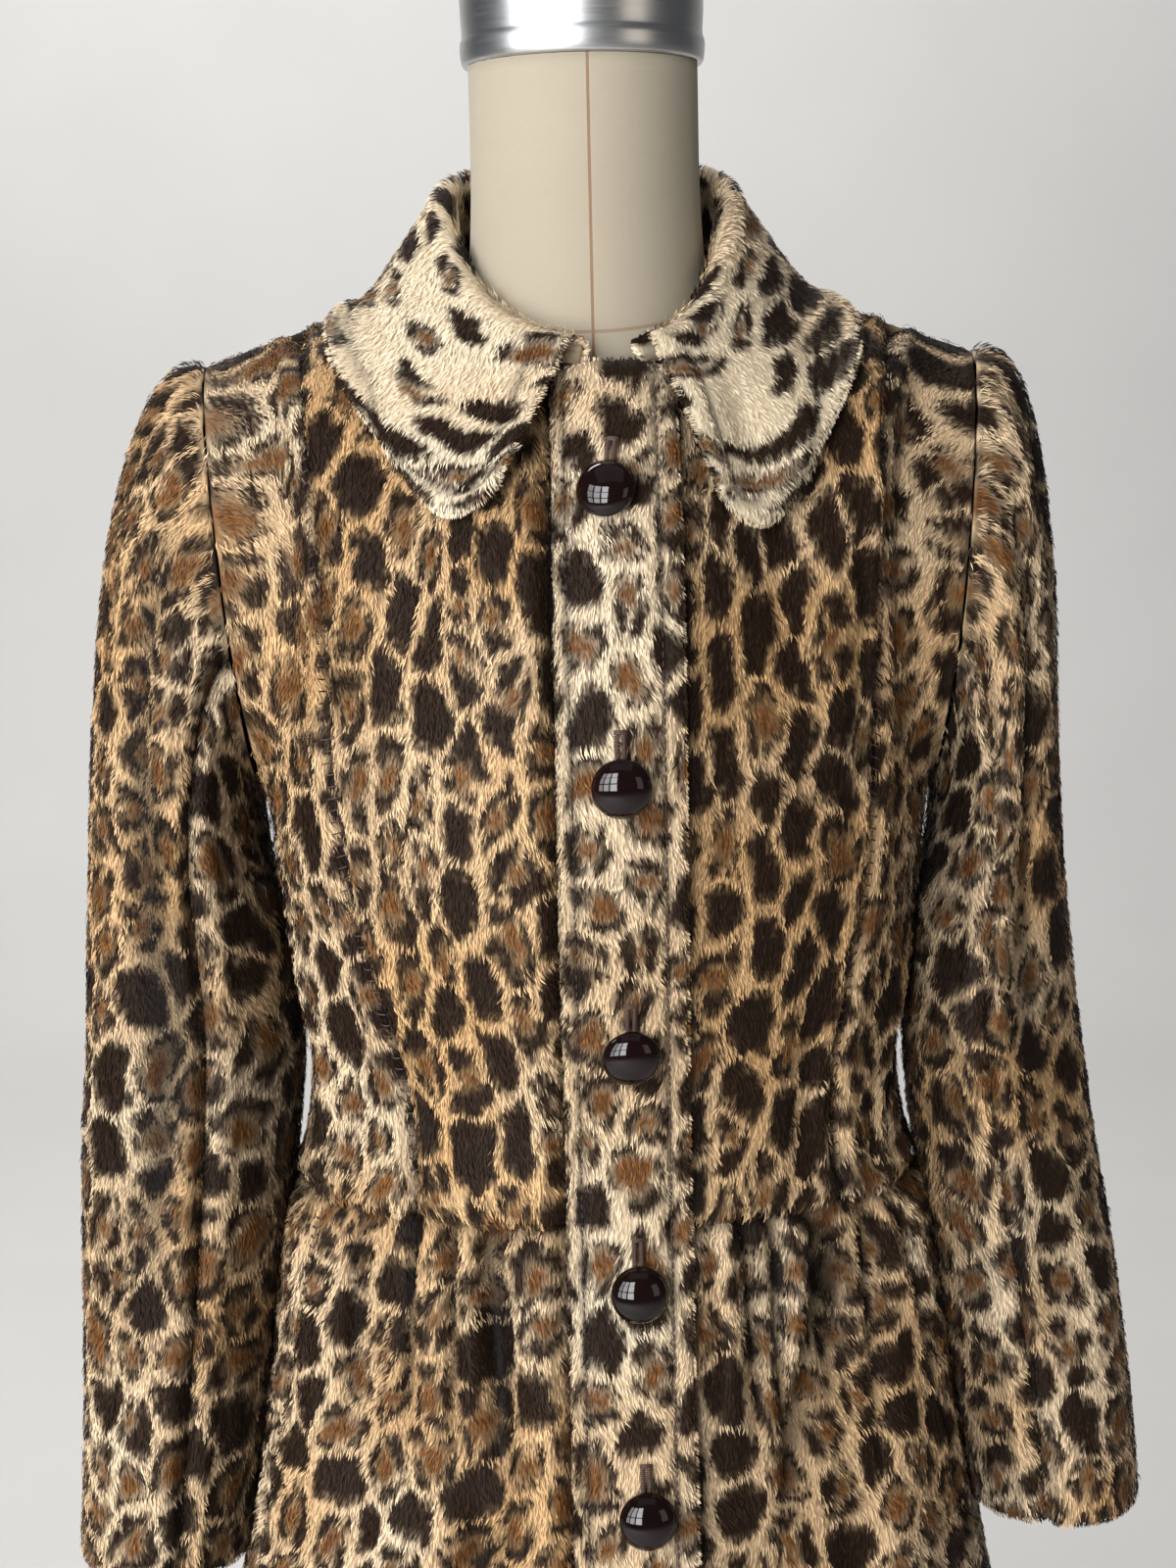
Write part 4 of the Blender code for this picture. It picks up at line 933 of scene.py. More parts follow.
def collar():
    """Collar from the right front end around the back to the left: its upper side, from stand to edge."""
    stations = np.concatenate((
        np.linspace(0, 0.12, 10), np.linspace(0.12, 0.4, 13)[1:], np.linspace(0.4, 2, 37)[1:]))
    sections = [collar_section("right", station) for station in stations]
    sections += [collar_section("left", station) for station in stations[-2::-1]]
    line, fall, feet = (np.array(part) for part in zip(*sections))
    middle = np.concatenate((line, laid_on(fall, coat_tree())), axis=1)
    for _ in range(3):
        middle[1:-1] = (middle[:-2] + 2 * middle[1:-1] + middle[2:]) / 4
        middle[:, 8:-1] = (middle[:, 7:-2] + 2 * middle[:, 8:-1] + middle[:, 9:]) / 4
    facing = unit(np.cross(np.gradient(middle, axis=0), np.gradient(middle, axis=1)))
    facing *= np.sign(np.sum(facing[:, 1] * feet, axis=-1).mean())
    facing[:, 0] = feet
    upper = np.swapaxes(middle - facing * WALL / 2, 0, 1)
    normals = np.swapaxes(-facing, 0, 1)
    edges = borders("free", "free", "sewn", "free")
    rim = np.min([edge_distance(upper, side) for side in SIDES if edges[side] == "free"], axis=0)
    outer = smooth(0.3, 0.5, np.linspace(0, 1, len(upper)))[:, None]
    # Pile along the collar's stitch line is pressed in and gets painted shade
    stitched = 0.8 * np.exp(-((rim - COLLAR_STITCH) / 0.0024) ** 2) * outer
    return shaped("collar", upper, normals, edges, "collar", stitched=stitched)


def put_mesh(name, points, faces, finishes, which=None):
    """Mesh object from arrays; all faces have the same number of corners."""
    mesh = bpy.data.meshes.new(name)
    mesh.vertices.add(len(points))
    mesh.vertices.foreach_set("co", np.ascontiguousarray(points, dtype=np.float32).ravel())
    corners = faces.shape[1]
    mesh.loops.add(faces.size)
    mesh.loops.foreach_set("vertex_index", np.ascontiguousarray(faces, dtype=np.int32).ravel())
    mesh.polygons.add(len(faces))
    mesh.polygons.foreach_set("loop_start", np.arange(len(faces), dtype=np.int32) * corners)
    for finish in finishes:
        mesh.materials.append(finish)
    if which is not None:
        mesh.polygons.foreach_set("material_index", np.ascontiguousarray(which, dtype=np.int32))
    mesh.update(calc_edges=True)
    mesh.polygons.foreach_set("use_smooth", np.ones(len(faces), dtype=bool))
    shape = bpy.data.objects.new(name, mesh)
    bpy.context.scene.collection.objects.link(shape)
    return shape


def quads(rows, columns, closed=False):
    """Corner numbers of a grid's faces; a closed grid joins its last column to its first."""
    index = np.arange(rows * columns).reshape(rows, columns)
    if closed:
        index = np.concatenate((index, index[:, :1]), axis=1)
    corners = (index[:-1, :-1], index[:-1, 1:], index[1:, 1:], index[1:, :-1])
    return np.stack(corners, axis=-1).reshape(-1, 4)


def paint(shape, name, values):
    """Store numbers on the points of a mesh, as a colour with four parts or as one value."""
    kind = "FLOAT_COLOR" if values.ndim == 2 else "FLOAT"
    layer = shape.data.attributes.new(name, kind, "POINT")
    numbers = np.ascontiguousarray(values, dtype=np.float32).ravel()
    layer.data.foreach_set("color" if values.ndim == 2 else "value", numbers)


def shell(panel):
    """Thin wall of backing cloth under the pile: the panel moved in by the pile's depth, and by the wall."""
    rows, columns = panel.points.shape[:2]
    outer = panel.points - panel.sunk[..., None] * panel.normals
    inner = panel.points - WALL * panel.normals
    count = rows * columns
    sheet = quads(rows, columns)
    index = np.arange(count).reshape(rows, columns)
    loop = np.concatenate((index[0, :-1], index[:-1, -1], index[-1, :0:-1], index[:0:-1, 0]))
    after = np.roll(loop, -1)
    rim = np.stack((loop, loop + count, after + count, after), axis=-1)
    points = np.concatenate((outer.reshape(-1, 3), inner.reshape(-1, 3)))
    a, b, c = (outer.reshape(-1, 3)[sheet[:, k]] for k in (0, 1, 2))
    if np.sum(np.cross(b - a, c - a) * panel.normals.reshape(-1, 3)[sheet[:, 0]]) < 0:
        sheet, rim = sheet[:, ::-1], rim[:, ::-1]
    faces = np.concatenate((sheet, sheet[:, ::-1] + count, rim))
    which = np.concatenate((np.zeros(len(sheet)), np.ones(len(sheet)), np.zeros(len(rim))))
    inside = FUR if panel.print == "collar" else LINING
    shape = put_mesh(panel.name + "_cloth", points, faces, [FUR, inside], which)
    dark, centre, pale = leopard(*panel.flat, PRINTS[panel.print], panel.seed)
    # Fourth part is painted shade: the backing as dark as the pile's roots, times the panel's painted light
    print_and_painted_shade = np.stack((dark, centre, pale, 0.55 * painted_pile_light(panel)), axis=-1).reshape(-1, 4)
    # The inner side gets half of that light, as painted shade
    paint(shape, "print", np.concatenate((print_and_painted_shade, print_and_painted_shade * (1, 1, 1, 0.5))))
    paint(shape, "tone", np.full(2 * count, 0.5))
    area = float(np.linalg.norm(np.cross(b - a, c - a), axis=-1).sum())
    return shape, area


def painted_pile_light(panel):
    """How much light is painted into the pile's colour: painted shade at stitches, creases and seams and at
    the arm, and a painted shadow beside the band.
    """
    # Painted shade where the pile is pressed at stitches and in creases
    light = 1 - 0.84 * panel.stitched
    # Painted shade on a sleeve's side that faces the body
    if panel.print == "sleeve":
        towards_body = -panel.facing[..., 0] * np.sign(panel.points[..., 0])
        light = light * (1 - 0.58 * smooth(-0.1, 0.8, towards_body))
    # Painted shadow of the band's edge on the left front beside it
    if panel.name in ("front_left", "skirt_front_left"):
        light = light * (0.40 + 0.60 * smooth(LAP_END + 0.002, LAP_END + 0.015, panel.points[..., 0]))
    # Painted shade beside sewn and gathered seams, lighter on the sleeves
    least = 0.55 if panel.print == "sleeve" else 0.20
    for side, kind in panel.edges.items():
        if kind in ("sewn", "gathered"):
            light = light * (least + (1 - least) * smooth(0, 0.0060, edge_distance(panel.points, side)))
    return light


def at_roots(grid, row, column, s, t):
    """Values of a grid between its points, blended across a face."""
    shape = s.shape + (1,) * (grid.ndim - 2)
    s, t = s.reshape(shape), t.reshape(shape)
    near = grid[row, column] * (1 - s) + grid[row, column + 1] * s
    far = grid[row + 1, column] * (1 - s) + grid[row + 1, column + 1] * s
    return near * (1 - t) + far * t


def with_rim(panel, rng, row, column, s, t):
    """Places of the roots, and further ones along the free edges; the last array tells which those are."""
    grid = panel.points
    rows, columns = grid.shape[0] - 1, grid.shape[1] - 1
    parts = [(row, column, s, t)]
    for side, line in borders(grid[:, 0], grid[:, -1], grid[0], grid[-1]).items():
        if panel.edges[side] != "free":
            continue
        steps = reach_along(line)[1:]
        count = int(RIM * steps[-1])
        place = np.searchsorted(steps, rng.random(count) * steps[-1]).clip(0, len(steps) - 1)
        along, end = rng.random(count), np.full(count, float(side.startswith("last")))
        if side.endswith("column"):
            parts.append((place, (end * (columns - 1)).astype(int), end, along))
        else:
            parts.append(((end * (rows - 1)).astype(int), place, along, end))
    joined = [np.concatenate(values) for values in zip(*parts)]
    return (*joined, np.arange(len(joined[0])) >= len(row))


def roots(panel, rng):
    """Places of the roots, spread by area, with those of the rim marked, and how dense the pile is there."""
    points, normals = panel.points, panel.normals
    diagonals = np.cross(points[1:, 1:] - points[:-1, :-1], points[1:, :-1] - points[:-1, 1:])
    area = np.linalg.norm(diagonals, axis=-1) / 2
    middle = (points[1:, 1:] + points[:-1, :-1]) / 2
    facing = (normals[1:, 1:] + normals[:-1, :-1]) / 2
    to_camera = unit(np.array(CAMERA_PLACE) - middle)
    seen = smooth(-0.28, -0.05, np.sum(facing * to_camera, axis=-1)) * smooth(*FRAME_FOOT, middle[..., 2])
    wanted = (area * (SPARSE + (DENSE - SPARSE) * seen)).ravel()
    total = int(wanted.sum())
    steps = np.cumsum(wanted)
    spread = (np.arange(total) + rng.random(total)) / total
    cell = np.searchsorted(steps, spread * steps[-1]).clip(0, wanted.size - 1)
    row, column = np.divmod(cell, points.shape[1] - 1)
    s, t = rng.random(total), rng.random(total)
    *place, rim = with_rim(panel, rng, row, column, s, t)
    return place, rim, seen[place[0], place[1]]


def beside_edges(panel, place, rim, length):
    """Blades' lengths, shorter beside seams and free edges, and how the nap turns outwards at open edges."""
    outward = np.zeros((len(rim), 3))
    step_across, step_along = np.gradient(panel.points, axis=1), np.gradient(panel.points, axis=0)
    ways = borders(-step_across, step_across, -step_along, step_along)
    for side, kind in panel.edges.items():
        away = at_roots(edge_distance(panel.points, side), *place)
        way = at_roots(unit(ways[side]), *place)
        if kind in ("sewn", "gathered"):
            length *= 0.55 + 0.45 * smooth(0, 0.005, away)
        elif kind in ("set", "free"):
            outward += way * ((0.8 + 1.2 * rim) * np.exp(-away / 0.0030))[:, None]
        if kind == "free":
            length *= 0.55 + 0.45 * smooth(0, 0.006, away)
    return length, outward


def pile(panel):
    """Fur of one panel: bent kite-shaped blades along the nap, with noise in their direction and lift.

    A blade has four points: its root, two in the middle and its tip.
    """
    rng = np.random.default_rng(panel.seed)
    place, rim, dense = roots(panel, rng)
    total = len(rim)
    u, v, sunk, stitched, light, root, below, up, nap = (at_roots(grid, *place) for grid in (
        *panel.flat, panel.sunk, panel.stitched, painted_pile_light(panel),
        panel.points, panel.normals, panel.facing, panel.nap,
    ))
    up = unit(up)
    sunk = np.where(rim, sunk + (WALL - sunk) * rng.random(total), sunk)
    length = BLADE_LENGTH * (0.78 + 0.44 * rng.random(total)) * (1.2 - 0.2 * dense)
    length, outward = beside_edges(panel, place, rim, length * (1 - 0.45 * stitched))
    swirl = 0.8 * (value_noise(u, v, 0.018, panel.seed + 7) - 0.5)
    swirl = swirl + 0.5 * (value_noise(u, v, 0.005, panel.seed + 8) - 0.5)
    swirl += rng.normal(0, 0.16, total)
    nap = unit(nap - np.sum(nap * up, axis=-1, keepdims=True) * up)
    way = unit(turned(nap, np.cross(up, nap), swirl) + outward)
    lift = np.radians(16 + 12 * (value_noise(u, v, 0.007, panel.seed + 9) - 0.5) + rng.normal(0, 6, total))
    lift = lift * (1 - 0.35 * np.clip(np.linalg.norm(outward, axis=-1), 0, 1))
    first, last = turned(way, up, lift + 0.22), turned(way, up, lift - 0.30)
    root = root - sunk[:, None] * below
    waist = root + first * (0.52 * length)[:, None]
    tip = waist + last * (0.48 * length)[:, None]
    roll = rng.normal(0, 0.45, total)
    side = np.cross(up, way)
    side = turned(side, np.cross(way, side), roll)
    width = BLADE_WIDTH * (0.75 + 0.5 * rng.random(total)) * (2.4 - 1.4 * dense)
    half = side * (width / 2)[:, None]

    corners = np.stack((root, waist + half, waist - half, tip), axis=1)
    number = np.arange(total)[:, None] * 4
    faces = np.concatenate((number + (0, 2, 1), number + (1, 2, 3)), axis=1).reshape(-1, 3)
    shape = put_mesh(panel.name + "_pile", corners.reshape(-1, 3), faces, [FUR])
    blade_up = unit(np.cross(first, side))
    blade_up *= np.sign(np.sum(blade_up * up, axis=-1, keepdims=True))
    soft = unit(0.80 * up + 0.20 * blade_up + 0.10 * rng.normal(0, 1, (total, 3)))
    shape.data.normals_split_custom_set_from_vertices(np.repeat(soft, 4, axis=0).tolist())
    print_pile(shape, panel, rng, u, v, length, light)
    place_for_baking(shape, faces, u, v)
    return shape


def print_pile(shape, panel, rng, u, v, length, light):
    """Paint the print on blades by the cloth below their middles, with a little jitter, and painted shade
    that darkens the roots.
    """
    jitter = rng.normal(0, 0.0006, (2, len(u)))
    down = 0.45 * length * (1 if panel.print == "collar" else -1)
    dark, centre, pale = leopard(u + jitter[0], v + jitter[1] + down, PRINTS[panel.print], panel.seed)
    # Painted shade from root to tip, times the panel's painted light
    painted_light = (light[:, None] * (0.55, 0.78, 0.78, 1.0)).ravel()
    values = np.stack((np.repeat(dark, 4), np.repeat(centre, 4), np.repeat(pale, 4), painted_light), axis=-1)
    paint(shape, "print", values)
    paint(shape, "tone", np.repeat(rng.random(len(u)), 4))


def place_for_baking(shape, faces, u, v):
    """Give each blade a small place of its own in the layer for baking, as blades stand on flat cloth."""
    flat = np.stack((u - u.min(), v - v.min()), axis=-1) / max(np.ptp(u), np.ptp(v)) * 0.96 + 0.02
    foot = np.array(((0.0, -1.0), (1.0, 0.0), (-1.0, 0.0), (0.0, 1.0))) * 0.0011
    places = (flat[:, None, :] + foot).reshape(-1, 2)
    layer = shape.data.uv_layers.new(name="OFBake")
    layer.data.foreach_set("uv", places[faces.ravel()].astype(np.float32).ravel())


def lathe(profile, steps):
    """Points and faces of a profile turned about Z; it runs from top to bottom, both on the axis."""
    radius, height = np.array(profile).T
    turn = np.linspace(0, 2 * np.pi, steps, endpoint=False)
    radius, height = radius[:, None], height[:, None]
    points = stack(radius * np.cos(turn), radius * np.sin(turn), height + 0 * turn)
    return points.reshape(-1, 3), quads(len(profile), steps, closed=True)


def divided(profile, spacing):
    """Profile with more points: some at even distances along its straight lines, besides its corners."""
    corners = np.array(profile, dtype=float)
    reach = reach_along(corners)
    count = max(int(reach[-1] / spacing), len(corners))
    at = np.unique(np.concatenate((np.linspace(0, reach[-1], count), reach)))
    return np.stack([np.interp(at, reach, corners[:, k]) for k in (0, 1)], axis=-1)


def closed_up(shape, near=0.00001, capped=False):
    """Merge points near each other, such as those on an axis; cap open ends; turn the faces outwards."""
    work = bmesh.new()
    work.from_mesh(shape.data)
    bmesh.ops.remove_doubles(work, verts=work.verts, dist=near)
    if capped:
        ends = [edge for edge in work.edges if edge.is_boundary]
        bmesh.ops.poke(work, faces=bmesh.ops.holes_fill(work, edges=ends, sides=0)["faces"])
    else:
        bmesh.ops.dissolve_degenerate(work, edges=work.edges, dist=0.000001)
    bmesh.ops.recalc_face_normals(work, faces=work.faces)
    work.to_mesh(shape.data)
    work.free()
    return shape


def button_place(number):
    """Middle of a button's back on the band, with the outward normal."""
    height = BUTTON_HEIGHTS[number - 1]
    x = CLOSING_X + CLOSING_DRIFT * (1.2 - height)
    points, facing = band_surface(np.array([[x]]), np.array([[height]]))
    return points[0, 0] + (WALL + SEAM) * facing[0, 0], facing[0, 0]


def frame_at(spot, facing):
    """Axes with Z along a normal and X level, as columns, and the spot that they start from."""
    z = np.array(facing)
    x = unit(np.cross((0.0, 0.0, 1.0), z))
    return np.column_stack((x, np.cross(z, x), z)), np.array(spot)


def button(number):
    """Domed button: part of an oval turned about its axis, a fine rim line, an undercut and a shank."""
    turn = np.radians(np.linspace(0, 76, 22))
    dome = np.stack((0.0131 * np.sin(turn), 0.0042 + 0.0076 * np.cos(turn)), axis=-1)
    rim = np.array((
        (0.01285, 0.0058), (0.01300, 0.0055), (0.01325, 0.0053), (0.01345, 0.0049), (0.0135, 0.0044),
        (0.0135, 0.0034), (0.0133, 0.0029), (0.0127, 0.0024), (0.0115, 0.0020), (0.0060, 0.0018),
        (0.0042, 0.0016), (0.0040, 0.0010), (0.0040, -0.0030), (0.0, -0.0030),
    ))
    points, faces = lathe(np.concatenate((dome, rim)), 48)
    axes, spot = frame_at(*button_place(number))
    shape = put_mesh("button_%d_dome" % number, points @ axes.T + spot, faces, [BUTTON])
    return closed_up(shape)


def threads(name, starts, ends, lifts, radius):
    """Short stitches as bowed rods of six sides: each rises in its middle along its lift."""
    starts, ends, lift = (np.concatenate(part) for part in (starts, ends, lifts))
    count = len(starts)
    share = np.linspace(0, 1, 5)
    line = starts[:, None] + (ends - starts)[:, None] * share[:, None]
    line = line + lift[:, None] * (np.sin(np.pi * share) ** 0.7)[:, None]
    along = unit(ends - starts)
    first = unit(np.cross(along, lift))
    second = np.cross(along, first)
    turn = np.linspace(0, 2 * np.pi, 6, endpoint=False)
    thick = radius * np.array((0.6, 1.0, 1.0, 1.0, 0.6))
    around = turned(first[:, None], second[:, None], turn)
    points = line[:, :, None] + thick[:, None, None] * around[:, None]
    one = quads(5, 6, closed=True)
    faces = (np.arange(count)[:, None, None] * 30 + one).reshape(-1, 4)
    return put_mesh(name, points.reshape(-1, 3), faces, [THREAD])


def buttonholes():
    """Upright worked buttonhole above each button: two columns of cross stitches and a bar at the top."""
    starts, ends, lifts = [], [], []
    for number in range(1, len(BUTTON_HEIGHTS) + 1):
        spot, facing = button_place(number)
        axes, _ = frame_at(spot, facing)
        x, y = axes[:, 0], axes[:, 1]
        rise = HOLE_START + HOLE_PITCH * np.arange(HOLE_STITCHES)[:, None]
        for way in (-1, 1):
            starts.append(spot + y * rise + x * way * 0.0003 + facing * 0.0012)
            ends.append(spot + y * (rise + 0.0002) + x * way * 0.0030 + facing * 0.0008)
            lifts.append(np.repeat(facing[None] * 0.0010, len(rise), axis=0))
        bar = HOLE_BAR + 0.0006 * np.arange(3)[:, None]
        starts.append(spot + y * bar - x * 0.0031 + facing * 0.0010)
        ends.append(spot + y * bar + x * 0.0031 + facing * 0.0010)
        lifts.append(np.repeat(facing[None] * 0.0008, 3, axis=0))
    return threads("buttonhole_stitches", starts, ends, lifts, HOLE_THREAD)


def topstitches():
    """Running stitches in the two pressed lines of the band."""
    starts, ends, lifts = [], [], []
    height = np.arange(HEM + 0.006, 1.385, STITCH_PITCH)
    for x in (BAND_LEFT + TOPSTITCH, LAP_END - TOPSTITCH):
        for part, store in ((0.0, starts), (STITCH_LENGTH, ends)):
            points, facing = band_surface(np.full((len(height), 1), x), (height + part)[:, None])
            step = smooth(BAND_LEFT, LAP_START, x)
            store.append(points[:, 0] + ((WALL + SEAM) * step - 0.0030) * facing[:, 0])
        lifts.append(0.0005 * facing[:, 0])
    return threads("band_topstitches", starts, ends, lifts, BAND_THREAD)


def ladder(name, panel, side, spacing, start, end):
    """Cross stitches over a seam, along one side of a panel, from one share of its height to another."""
    column, inward = (0, 1) if side == "first_column" else (-1, -2)
    edge, facing = panel.points[:, column], panel.normals[:, column]
    across = unit(edge - panel.points[:, inward])
    reach = reach_along(edge)
    at = np.arange(reach[-1] * start, reach[-1] * end, spacing)
    spot, up, way = (
        np.stack([np.interp(at, reach, grid[:, k]) for k in range(3)], axis=-1)
        for grid in (edge, facing, across)
    )
    starts = spot - way * CROSS_REACH + up * CROSS_RISE
    ends = spot + way * CROSS_REACH + up * CROSS_RISE
    return threads(name, [starts], [ends], [up * 0.0016], SEAM_THREAD)


def form_neck(loop):
    """Quarter of the form's neck: rings above a part of its base line, which soon become round."""
    share = np.linspace(0, 1, 24)[1:, None]
    z = loop[:, 2] + (NECK_TOP - loop[:, 2]) * share
    radius = NECK_RADIUS + NECK_FLARE * np.clip((1.50 - z) / 0.05, 0, 2) ** 2
    angle = np.arctan2(loop[:, 0], -(loop[:, 1] - NECK_CENTRE_Y))
    rows = stack(radius * np.sin(angle), NECK_CENTRE_Y - radius * np.cos(angle), z)
    blend = smooth(0, 0.25, share)[..., None]
    return np.concatenate((loop[None], loop + (rows - loop) * (0.35 + 0.65 * blend)))


def form_torso():
    """Torso of the form: the bodice moved in, on the hips' rings, with a round neck; its ends are closed."""
    steps = np.concatenate((np.linspace(0, 1, 13), np.linspace(1, 2, 9)[1:], np.linspace(2, 3, 13)[1:]))
    rows = np.concatenate((np.linspace(0, 1, 9), np.linspace(1, 2, 17)[1:]))
    columns, rise = np.meshgrid(np.concatenate((steps, 6 - steps[-2::-1])), rows)
    outer = bodice(columns, rise)
    facing = normals_of(lambda u, v: bodice(np.clip(u, 0, 6), v), columns, rise, (0, 2))
    from_middle = np.abs(np.abs(columns - 3) - 1.5)
    seated = np.clip((0.45 - from_middle) / 0.2, 0, 1) * np.clip((rise - 1.8) / 0.2, 0, 1)
    sheet = outer - facing * (WALL + FORM_EASE + (SEAM - FORM_EASE) * seated)[..., None]
    sheet[:, (0, -1), 0] = 0
    shoulder = (sheet[-1, 12:21] + sheet[-1, ::-1][12:21]) / 2
    sheet[-1, 12:21] = shoulder
    sheet[-1, ::-1][12:21] = shoulder
    low = np.linspace(FORM_BOTTOM, HIPS_TOP, 20)
    angles = np.radians(softened(COLUMNS, "column", "waist_angle", columns[0]))
    angles[0], angles[-1] = 0, np.pi
    hips = ring(FORM_HIPS, np.repeat(angles[None, :], len(low), axis=0), low[:, None])
    half = np.concatenate((hips, sheet))
    grids = (half, form_neck(half[-1, :13]), form_neck(half[-1, -13:]))
    points, faces, start = [], [], 0
    for grid in grids:
        for side in ("left", "right"):
            points.append(mirrored(grid, side).reshape(-1, 3))
            faces.append(quads(*grid.shape[:2]) + start)
            start += points[-1].shape[0]
    shape = put_mesh("form_body", np.concatenate(points), np.concatenate(faces), [LINEN])
    return closed_up(shape, near=0.0002, capped=True)


def turned_piece(name, profile, spot, finish, steps=96):
    """Turned piece of the stand or the neck, at its spot."""
    points, faces = lathe(profile, steps)
    return closed_up(put_mesh(name, points + np.array(spot), faces, [finish]))


class Value:
    """A value in a material's nodes; arithmetic on it adds Math nodes."""

    def __init__(self, finish, socket):
        self.finish = finish
        self.socket = socket

    def __add__(self, other):
        return self.finish.maths("ADD", self, other)

    def __sub__(self, other):
        return self.finish.maths("SUBTRACT", self, other)

    def __rsub__(self, other):
        return self.finish.maths("SUBTRACT", other, self)

    def __mul__(self, other):
        return self.finish.maths("MULTIPLY", self, other)

    def __truediv__(self, other):
        return self.finish.maths("DIVIDE", self, other)

    def __pow__(self, other):
        return self.finish.maths("POWER", self, other)

    __radd__ = __add__
    __rmul__ = __mul__


class Finish:
    """A material being built around one Principled shader."""

    def __init__(self, name, **sockets):
        self.material = bpy.data.materials.new(name)
        self.material.use_nodes = True
        self.tree = self.material.node_tree
        self.shader = self.tree.nodes["Principled BSDF"]
        for key, value in sockets.items():
            self.shader.inputs[key.replace("_", " ")].default_value = value

    def node(self, kind, settings=None, inputs=None):
        """Add any node: its settings first, then the values or links of its sockets."""
        made = self.tree.nodes.new(kind)
        for key, value in (settings or {}).items():
            setattr(made, key, value)
        for key, value in (inputs or {}).items():
            self.feed(made.inputs[key], value)
        return made

    def feed(self, socket, value):
        if isinstance(value, Value):
            self.tree.links.new(value.socket, socket)
        else:
            socket.default_value = value

    def value(self, kind, settings=None, inputs=None, output=0):
        return Value(self, self.node(kind, settings, inputs).outputs[output])

    def maths(self, operation, *values):
        return self.value("ShaderNodeMath", {"operation": operation}, dict(enumerate(values)))

    def mix(self, factor, first, second, blend="MIX"):
        """Mix of two colours."""
        settings = {"data_type": "RGBA", "blend_type": blend}
        return self.value("ShaderNodeMix", settings, {0: factor, 6: first, 7: second}, 2)

    def noise(self, scale, detail=2.0, stretch=(1.0, 1.0, 1.0)):
        """Noise from 0 to 1 in object coordinates."""
        place = self.value("ShaderNodeTexCoord", output="Object")
        moved = self.value("ShaderNodeMapping", {}, {"Vector": place, "Scale": stretch})
        return self.value("ShaderNodeTexNoise", {}, {"Vector": moved, "Scale": scale, "Detail": detail})

    def bump(self, height, strength, distance):
        inputs = {"Height": height, "Strength": strength, "Distance": distance}
        self.feed(self.shader.inputs["Normal"], self.value("ShaderNodeBump", {}, inputs))

    def set(self, **links):
        for key, value in links.items():
            self.feed(self.shader.inputs[key.replace("_", " ")], value)
        return self.material


def colour(red, green, blue):
    """Linear colour from red, green and blue of 0 to 255."""
    shares = np.array((red, green, blue)) / 255
    linear = np.where(shares <= 0.04045, shares / 12.92, ((shares + 0.055) / 1.055) ** 2.4)
    return (*linear.tolist(), 1.0)


def plain_finish(name, patches, low, high, grain=None, **sockets):
    """Finish whose colour changes in patches between two; its grain is a noise with a bump's numbers."""
    made = Finish(name, **sockets)
    if grain:
        noise, *bump = grain
        made.bump(made.noise(*noise), *bump)
    return made.set(Base_Color=made.mix(made.noise(*patches), colour(*low), colour(*high)))


def fur_finish():
    """Pile: gold or cream ground, caramel rosette centres, dark spots; painted shade at the roots, in creases
    and at seams; uneven by blades.
    """
    fur = Finish(
        "leopard_fur", Roughness=0.60, Specular_IOR_Level=0.10, Sheen_Weight=0.03, Sheen_Roughness=0.45)
    layer = fur.node("ShaderNodeAttribute", {"attribute_name": "print"})
    parts = fur.node("ShaderNodeSeparateColor", {}, {"Color": Value(fur, layer.outputs["Color"])})
    dark, centre, pale = (Value(fur, parts.outputs[k]) for k in range(3))
    # Fourth part of the print: painted light, low at the roots, in creases and at seams
    painted_light = Value(fur, layer.outputs["Alpha"])
    tone = fur.value("ShaderNodeAttribute", {"attribute_name": "tone"}, output="Fac")
    cloud = fur.noise(34.0, 3.0)
    ground = fur.mix(cloud, colour(202, 158, 106), colour(226, 188, 138))
    ground = fur.mix(pale * 0.85, ground, colour(244, 229, 200))
    warm = fur.mix(tone, colour(98, 62, 32), colour(136, 91, 50))
    spot = fur.mix(tone, colour(33, 22, 14), colour(53, 37, 25))
    coat = fur.mix(dark, fur.mix(centre, ground, warm), spot)
    # Painted shade times each blade's random tone
    shade = (0.10 + 0.96 * painted_light) * (0.86 + 0.26 * tone)
    lit = fur.value("ShaderNodeCombineColor", {}, {0: shade, 1: shade, 2: shade})
    fur.bump(fur.noise(800.0, 2.0, (1.0, 1.0, 0.3)), 0.22, 0.0006)
    return fur.set(Base_Color=fur.mix(1.0, coat, lit, "MULTIPLY"))


